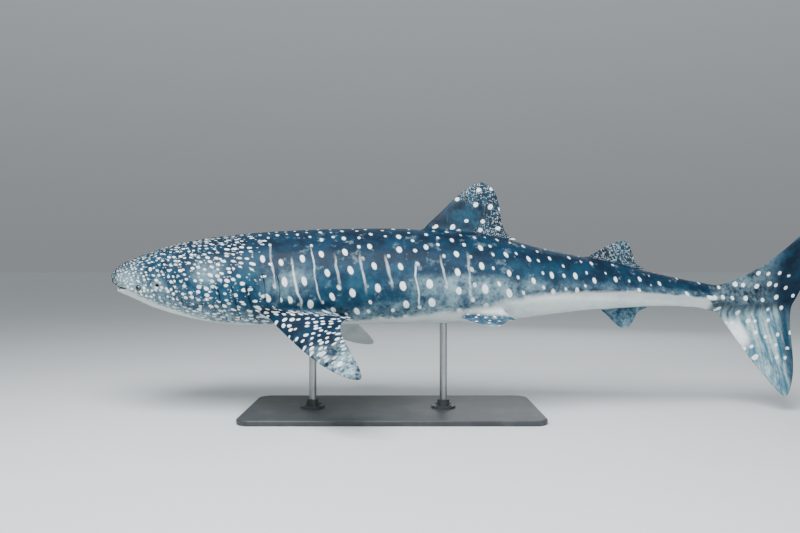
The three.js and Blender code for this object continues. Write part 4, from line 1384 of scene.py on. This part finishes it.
    # --- first dorsal: few round spots, upright streaks, fine pale net near the tip and rear edge
    dspots = n.voronoi(n.xyz(n.mad(fu, 7.6, n.mul(fv, -2.2)), n.mul(fv, 7.2), 0.0), 1.0, 0.60, dims="2D")
    f1, f2, f3 = n.split(dspots.outputs["Color"])
    dsp = n.mul(n.inv(n.step(dspots.outputs["Distance"], n.mad(f1, 0.05, 0.080), n.mad(f1, 0.05, 0.130))), n.m("GREATER_THAN", f2, 0.10))
    net = n.voronoi(n.xyz(n.mul(fu, 34.0), n.mul(fv, 34.0), 0.0), 1.0, 1.0, feature="DISTANCE_TO_EDGE", dims="2D")
    netl = n.inv(n.step(net.outputs["Distance"], 0.01, 0.15))
    netl = n.mul(netl, n.step(n.noise(pos, 46.0, 3, 0.6), 0.46, 0.60))
    dotv = n.voronoi(n.xyz(n.mul(fu, 52.0), n.mul(fv, 52.0), 0.0), 1.0, 1.0, dims="2D")
    m1, m2, m3 = n.split(dotv.outputs["Color"])
    dots = n.mul(n.inv(n.step(dotv.outputs["Distance"], 0.12, 0.34)), n.m("GREATER_THAN", m1, 0.45))
    netl = n.mx(n.mul(netl, 0.55), n.mul(dots, 0.9))
    rear = n.step(n.sub(fu, n.mul(fv, 0.55)), 0.33, 0.50)
    topz = n.step(n.add(tip, n.mul(n.sub(mid, 0.5), 0.3)), 0.50, 0.78)
    netz = n.mx(topz, n.mul(rear, 0.9))
    streak = n.step(n.noise(n.xyz(n.mul(fu, 22.0), n.mul(fv, 2.0), 5.0), 1.0, 2, 0.6), 0.58, 0.72)
    dg_ = n.mix(n.step(mid, 0.35, 0.7), lin_rgb(14, 28, 40) + (1.0,), back_mid + (1.0,))
    veil = n.mul(n.mul(n.step(fu, 0.10, 0.30), n.inv(n.step(fu, 0.42, 0.66))), n.step(n.mad(fine, 0.3, n.mul(mid, 0.7)), 0.34, 0.70))
    dg_ = n.mix(n.mx(n.mul(streak, 0.55), n.mul(veil, 0.45)), dg_, flank + (1.0,))
    dcol = n.mix(n.mul(n.mul(netl, netz), 0.85), dg_, lin_rgb(196, 206, 206) + (1.0,))
    dcol = n.mix(n.mul(dsp, 0.92), dcol, white + (1.0,))
    col = n.mix(n.step(m_dor, 0.2, 0.9), col, dcol)

    # --- second dorsal, anal and pelvic fins
    net2 = n.voronoi(n.xyz(n.mul(fu, 28.0), n.mul(fv, 28.0), 0.0), 1.0, 1.0, feature="DISTANCE_TO_EDGE", dims="2D")
    net2l = n.mul(n.inv(n.step(net2.outputs["Distance"], 0.02, 0.20)), n.step(n.noise(pos, 40.0, 3, 0.65), 0.44, 0.60))
    d2col = n.mix(n.mul(n.mx(n.mul(net2l, 0.75), n.mul(dots, 0.5)), 0.72), dg_, lin_rgb(196, 206, 206) + (1.0,))
    col = n.mix(n.step(m_dor2, 0.2, 0.9), col, d2col)
    scol = n.mix(n.step(mid, 0.35, 0.7), n_c(back_mid, 1.3), n_c(flank, 0.8))
    scol = n.mix(n.step(under, 0.4, 0.6), scol, pbelly)
    scol = n.mix(n.mul(n.step(n.mad(fine, 0.5, n.mul(mid, 0.5)), 0.44, 0.66), 0.55), scol, pale + (1.0,))
    scol = n.mix(n.mul(n.step(n.add(tip, n.mul(n.sub(mid, 0.5), 0.4)), 0.70, 1.0), 0.55), scol, pale + (1.0,))
    sfl = n.voronoi(n.xyz(n.mul(fu, 13.0), n.mul(fv, 15.0), 0.0), 1.0, 0.8, dims="2D")
    o1, o2, o3 = n.split(sfl.outputs["Color"])
    scol = n.mix(n.mul(n.mul(n.inv(n.step(sfl.outputs["Distance"], 0.10, 0.20)), n.m("GREATER_THAN", o1, 0.5)), n.inv(n.step(h, 0.8, 0.95))), scol, white + (1.0,))
    col = n.mix(n.step(m_small, 0.2, 0.9), col, scol)

    # --- tail fin: rows of spots at its root and along the rear edge, long pale streaks on the lower lobe, painted shade along the lower lobe's rear edge and a painted highlight near its root
    lowl = n.inv(n.step(fv, -0.46, -0.30))
    upl = n.step(fv, -0.22, 0.05)
    tg = n.mix(n.step(mid, 0.34, 0.7), back_dark + (1.0,), back_mid + (1.0,))
    rootp = n.mul(n.mul(n.inv(n.step(fu, 5.60, 5.92)), n.step(n.mad(fine, 0.4, n.mul(mid, 0.6)), 0.36, 0.66)), n.step(fv, -0.36, -0.30))
    tg = n.mix(n.mul(rootp, 0.55), tg, pale + (1.0,))
    # streaks run with the lower lobe, which leans back by about 2.4 down for each 1 along
    along = n.add(fu, n.mul(fv, 0.16))
    st = n.noise(n.xyz(n.mul(along, 15.0), n.mul(fv, 2.2), 4.0), 1.0, 4, 0.6, 0.3)
    stm = n.step(n.mad(fine, 0.18, st), 0.46, 0.78)
    # painted shade: a dark strip along the lower lobe's rear edge, where the fin curls away from the light
    rear_edge_shade = n.step(n.add(fu, n.mul(n.sub(mid, 0.5), 0.05)), n.mad(fv, -0.02, 5.80), n.mad(fv, -0.02, 5.90))
    tcol_l = n.mix(stm, n_c(flank, 1.25), lin_rgb(182, 202, 202) + (1.0,))
    tcol_l = n.mix(n.mul(rear_edge_shade, 0.85), tcol_l, back_mid + (1.0,))
    # painted highlight: a white flash of caustic sunlight near the root of the lower lobe's leading edge
    flash_highlight = n.inv(n.step(n.m("SQRT", n.add(n.m("POWER", n.sub(fu, n.mad(n.add(fv, 0.6), -0.42, 5.47)), 2.0), n.m("POWER", n.mul(n.add(fv, 0.58), 0.78), 2.0))), 0.050, 0.12))
    tcol_l = n.mix(n.mul(flash_highlight, 0.85), tcol_l, white + (1.0,))
    tcol = n.mix(lowl, tg, tcol_l)
    ust = n.step(n.noise(n.xyz(n.mul(n.sub(fu, n.mul(fv, 0.9)), 12.0), n.mul(fv, 2.0), 9.0), 1.0, 3, 0.6), 0.55, 0.8)
    tcol = n.mix(n.mul(upl, n.mad(ust, 0.50, n.mul(n.step(mid, 0.35, 0.7), 0.22))), tcol, n_c(flank, 1.05))
    ts_ = n.voronoi(n.xyz(n.mul(n.sub(fu, n.mul(fv, 0.25)), 9.4), n.mul(fv, 9.4), 0.0), 1.0, 0.62, dims="2D")
    h1, h2, h3 = n.split(ts_.outputs["Color"])
    tsp = n.inv(n.step(ts_.outputs["Distance"], n.mad(h1, 0.08, 0.11), n.mad(h1, 0.08, 0.16)))
    keep_zone = n.mul(n.inv(n.step(n.m("ABSOLUTE", n.add(fv, 0.36)), 0.30, 0.62)), n.inv(n.mul(n.step(fv, -0.16, 0.02), 0.5)))
    tsp = n.mul(tsp, n.m("GREATER_THAN", n.add(h2, n.mul(keep_zone, 0.55)), 0.84))
    tcol = n.mix(n.mul(tsp, 0.93), tcol, white + (1.0,))
    col = n.mix(n.step(m_tail, 0.3, 1.0), col, tcol)

    # --- pale skin round the eye; painted shade, near black, deep in the mouth, the gill slits and the other holes
    col = n.mix(n.mul(n.step(eye, 0.30, 0.50), 0.35), col, lin_rgb(120, 140, 144) + (1.0,))
    # painted shade: the deep parts of the mouth, gill slits, spiracles, nostrils and eye sockets turn near black
    deep = n.step(cav, 0.18, 0.85)
    col = n.mix(n.mul(deep, 0.97), col, lin_rgb(8, 12, 16) + (1.0,))
    # fine tone, scratches and old scars
    sc1 = n.noise(n.xyz(n.mul(s, 3.0), n.mul(g, 60.0), 3.0), 1.0, 3, 0.7)
    scr = n.mul(n.step(sc1, 0.70, 0.76), n.step(mid, 0.5, 0.62))
    col = n.mix(n.mul(scr, 0.16), col, pale + (1.0,))
    tone = n.mad(grain, 0.30, n.mad(fine, 0.26, 0.72))
    col = n.mix(1.0, col, n.xyz(tone, tone, tone), "MULTIPLY")

    rough = n.mad(n.sub(fine, 0.5), 0.22, n.mad(n.sub(mid, 0.5), 0.16, 0.53))
    rough = n.mad(deep, 0.2, rough)
    dent = n.noise(pos, 420.0, 2, 0.6)
    wr = n.noise(n.xyz(n.mul(s, 9.0), n.mul(g, 26.0), n.mad(side, 3.0, 1.0)), 1.0, 4, 0.6, 0.4)
    hgt = n.mad(dent, 0.12, n.mad(fine, 0.55, n.mul(wr, 0.45)))
    hgt = n.mad(spots_b, 0.05, hgt)
    bump = n.bump(hgt, 0.006, 0.55)
    return n.finish(col, rough, bump, spec=0.18, coat=0.0, coat_rough=0.3)


def n_c(c, k_):
    return (c[0] * k_, c[1] * k_, c[2] * k_, 1.0)


skin_mesh.materials.append(hide_material())

# ------------------------------------------------------------------ eyes
def eye_object(name, sy):
    """Ball with a low clear dome: dark iris with a paler rim round a round pupil."""
    centre = np.array([EYE_S, sy * EYE_OUT, EYE_Z])
    nu, nv_ = 48, 28
    vs_, fs_, rad = [], [], []
    for a in range(nv_ + 1):
        th = math.pi * a / nv_
        r = EYE_R * (1.0 + 0.035 * math.exp(-(th / 0.55) ** 2))
        for b in range(nu):
            ph = 2 * math.pi * b / nu
            if a in (0, nv_) and b > 0:
                continue
            x, z, y = r * math.sin(th) * math.cos(ph), r * math.sin(th) * math.sin(ph), r * math.cos(th)
            vs_.append(centre + np.array([x, sy * y, z]))
            rad.append(th)
    idx = lambda a, b: 0 if a == 0 else (len(vs_) - 1 if a == nv_ else 1 + (a - 1) * nu + b % nu)
    for a in range(nv_):
        for b in range(nu):
            q4 = [idx(a, b), idx(a, b + 1), idx(a + 1, b + 1), idx(a + 1, b)]
            q4 = list(dict.fromkeys(q4))
            fs_.append(q4 if sy > 0 else q4[::-1])
    me = bpy.data.meshes.new(name)
    me.from_pydata([tuple(v_ + OFFSET) for v_ in vs_], [], fs_)
    me.update()
    me.polygons.foreach_set("use_smooth", np.ones(len(me.polygons), bool))
    at = me.attributes.new("k_eye", "FLOAT", "POINT")
    at.data.foreach_set("value", np.array(rad, np.float32))
    ob = bpy.data.objects.new(name, me)
    bpy.context.scene.collection.objects.link(ob)
    return ob


def eye_material():
    n = Net("shark_eye")
    th = n.node("ShaderNodeAttribute", attribute_name="k_eye").outputs["Fac"]
    pos = n.coords()
    rays = n.noise(pos, 220.0, 4, 0.7, 0.6)
    blotch = n.noise(pos, 90.0, 3, 0.6)
    iris = n.mix(n.step(n.mad(blotch, 0.5, n.mul(rays, 0.6)), 0.42, 0.68), lin_rgb(20, 19, 18) + (1.0,), lin_rgb(64, 60, 52) + (1.0,))
    rim = n.mix(n.step(th, 0.52, 0.62), iris, lin_rgb(16, 18, 20) + (1.0,))
    white = n.mix(n.step(th, 0.74, 0.9), rim, n.mix(blotch, lin_rgb(96, 106, 112) + (1.0,), lin_rgb(48, 58, 66) + (1.0,)))
    pupil = n.mix(n.step(n.add(th, n.mul(n.sub(rays, 0.5), 0.04)), 0.285, 0.32), lin_rgb(4, 4, 6) + (1.0,), white)
    rough = n.mad(blotch, 0.05, 0.04)
    return n.finish(pupil, rough, None, spec=0.5, coat=1.0, coat_rough=0.02, ior=1.4)


eye_mat = eye_material()
eye_l = eye_object("visual_eye_left", -1.0)
eye_r = eye_object("visual_eye_right", 1.0)
for ob in (eye_l, eye_r):
    ob.data.materials.append(eye_mat)

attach(skin, "root")
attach(eye_l, "root")
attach(eye_r, "root")
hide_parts("head", "lower_jaw", "trunk", "tail_stalk", "caudal_fin_upper", "caudal_fin_lower", "first_dorsal_fin",
            "second_dorsal_fin", "anal_fin", "pectoral_fin_left", "pectoral_fin_right", "pelvic_fin_left", "pelvic_fin_right")
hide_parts("eye_left")
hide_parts("eye_right")


# ------------------------------------------------------------------ stand finishes
def paint_material():
    n = Net("stand_paint")
    pos = n.coords()
    big = n.noise(pos, 2.2, 4, 0.6)
    fine = n.noise(pos, 60.0, 3, 0.6)
    speck = n.noise(pos, 320.0, 2, 0.5)
    col = n.mix(n.step(big, 0.35, 0.7), lin_rgb(44, 47, 50) + (1.0,), lin_rgb(56, 60, 63) + (1.0,))
    scuff = n.mul(n.step(n.noise(pos, 9.0, 5, 0.75), 0.60, 0.70), n.step(fine, 0.48, 0.6))
    col = n.mix(n.mul(scuff, 0.30), col, lin_rgb(96, 100, 102) + (1.0,))
    dust = n.mul(n.step(n.noise(pos, 3.6, 4, 0.7), 0.45, 0.75), 0.12)
    col = n.mix(dust, col, lin_rgb(140, 142, 140) + (1.0,))
    rough = n.mad(scuff, 0.14, n.mad(n.sub(big, 0.5), 0.22, n.mad(fine, 0.08, 0.42)))
    bump = n.bump(n.mad(fine, 0.5, speck), 0.0012, 0.35)
    return n.finish(col, rough, bump, metallic=0.0, spec=0.5)


def steel_material():
    n = Net("stand_steel")
    pos = n.coords()
    x, y, z = n.split(pos)
    brush = n.noise(n.xyz(n.mul(x, 4.0), n.mul(y, 4.0), n.mul(z, 380.0)), 1.0, 4, 0.7)
    big = n.noise(pos, 5.0, 3, 0.6)
    col = n.mix(brush, lin_rgb(142, 146, 148) + (1.0,), lin_rgb(176, 179, 180) + (1.0,))
    col = n.mix(n.mul(n.step(big, 0.5, 0.75), 0.25), col, lin_rgb(112, 114, 114) + (1.0,))
    rough = n.mad(brush, 0.16, n.mad(big, 0.14, 0.20))
    bump = n.bump(brush, 0.0006, 0.3)
    return n.finish(col, rough, bump, metallic=1.0, spec=0.5)


paint, steel = paint_material(), steel_material()
for node, mat in (("stand_base", paint), ("stand_flange_front", paint), ("stand_flange_rear", paint),
                  ("stand_rod_front", steel), ("stand_rod_rear", steel)):
    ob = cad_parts[node]
    ob.material_slots[0].material = mat

# ------------------------------------------------------------------ floor, light and camera
floor_mesh = bpy.data.meshes.new("studio_floor")
R = 140.0
floor_mesh.from_pydata([(-R, -R, 0), (R, -R, 0), (R, R, 0), (-R, R, 0)], [], [(0, 1, 2, 3)])
floor = bpy.data.objects.new("studio_floor", floor_mesh)
bpy.context.scene.collection.objects.link(floor)
fn = Net("studio_floor")
fpos = fn.coords()
fcol = fn.mix(fn.noise(fpos, 0.7, 3, 0.5), lin_rgb(206, 210, 212) + (1.0,), lin_rgb(214, 217, 218) + (1.0,))
floor_mesh.materials.append(fn.finish(fcol, 0.8, None, spec=0.2))

world = bpy.data.worlds.new("studio") if not bpy.context.scene.world else bpy.context.scene.world
bpy.context.scene.world = world
world.use_nodes = True
wt = world.node_tree
wt.nodes.clear()
w_out = wt.nodes.new("ShaderNodeOutputWorld")
bg = wt.nodes.new("ShaderNodeBackground")
w_co = wt.nodes.new("ShaderNodeTexCoord")
w_sep = wt.nodes.new("ShaderNodeSeparateXYZ")
w_map = wt.nodes.new("ShaderNodeMapRange")
w_map.interpolation_type = "SMOOTHSTEP"
w_map.inputs["From Min"].default_value = -0.02
w_map.inputs["From Max"].default_value = 0.55
w_map.inputs["To Min"].default_value = 0.40
w_map.inputs["To Max"].default_value = 0.66
wt.links.new(w_co.outputs["Generated"], w_sep.inputs[0])
wt.links.new(w_sep.outputs[2], w_map.inputs["Value"])
wt.links.new(w_map.outputs["Result"], bg.inputs[1])
wt.links.new(bg.outputs[0], w_out.inputs[0])
bg.inputs[0].default_value = (*lin_rgb(208, 214, 218), 1.0)


def area(name, loc, target, size, power, colour=(1, 1, 1), size_y=None):
    d = bpy.data.lights.new(name, "AREA")
    d.energy = power
    d.color = colour
    d.shape = "RECTANGLE"
    d.size = size
    d.size_y = size_y or size
    o = bpy.data.objects.new(name, d)
    o.location = loc
    v_ = np.array(target, float) - np.array(loc, float)
    from mathutils import Vector
    o.rotation_euler = Vector(v_).to_track_quat("-Z", "Y").to_euler()
    bpy.context.scene.collection.objects.link(o)
    return o


area("key", (-2.0, -4.5, 6.5), (-0.4, 0, 1.1), 6.0, 1250, (0.96, 0.985, 1.0), 4.0)
area("fill", (3.5, -7.5, 3.0), (0.6, 0, 1.1), 5.0, 260, (0.93, 0.97, 1.0))
area("back", (2.5, 7.0, 4.0), (0.3, 0, 1.2), 6.0, 130, (0.95, 0.98, 1.0), 3.0)

cam_d = bpy.data.cameras.new("camera")
cam_d.sensor_width = 36.0
cam_d.lens = 36.0 * 693.0 / 800.0
cam_d.clip_end = 300
cam = bpy.data.objects.new("camera", cam_d)
cam.location = (2.505 + OFFSET[0], -6.0, 1.26)
cam.rotation_euler = (math.radians(90), 0, 0)
bpy.context.scene.collection.objects.link(cam)
bpy.context.scene.camera = cam

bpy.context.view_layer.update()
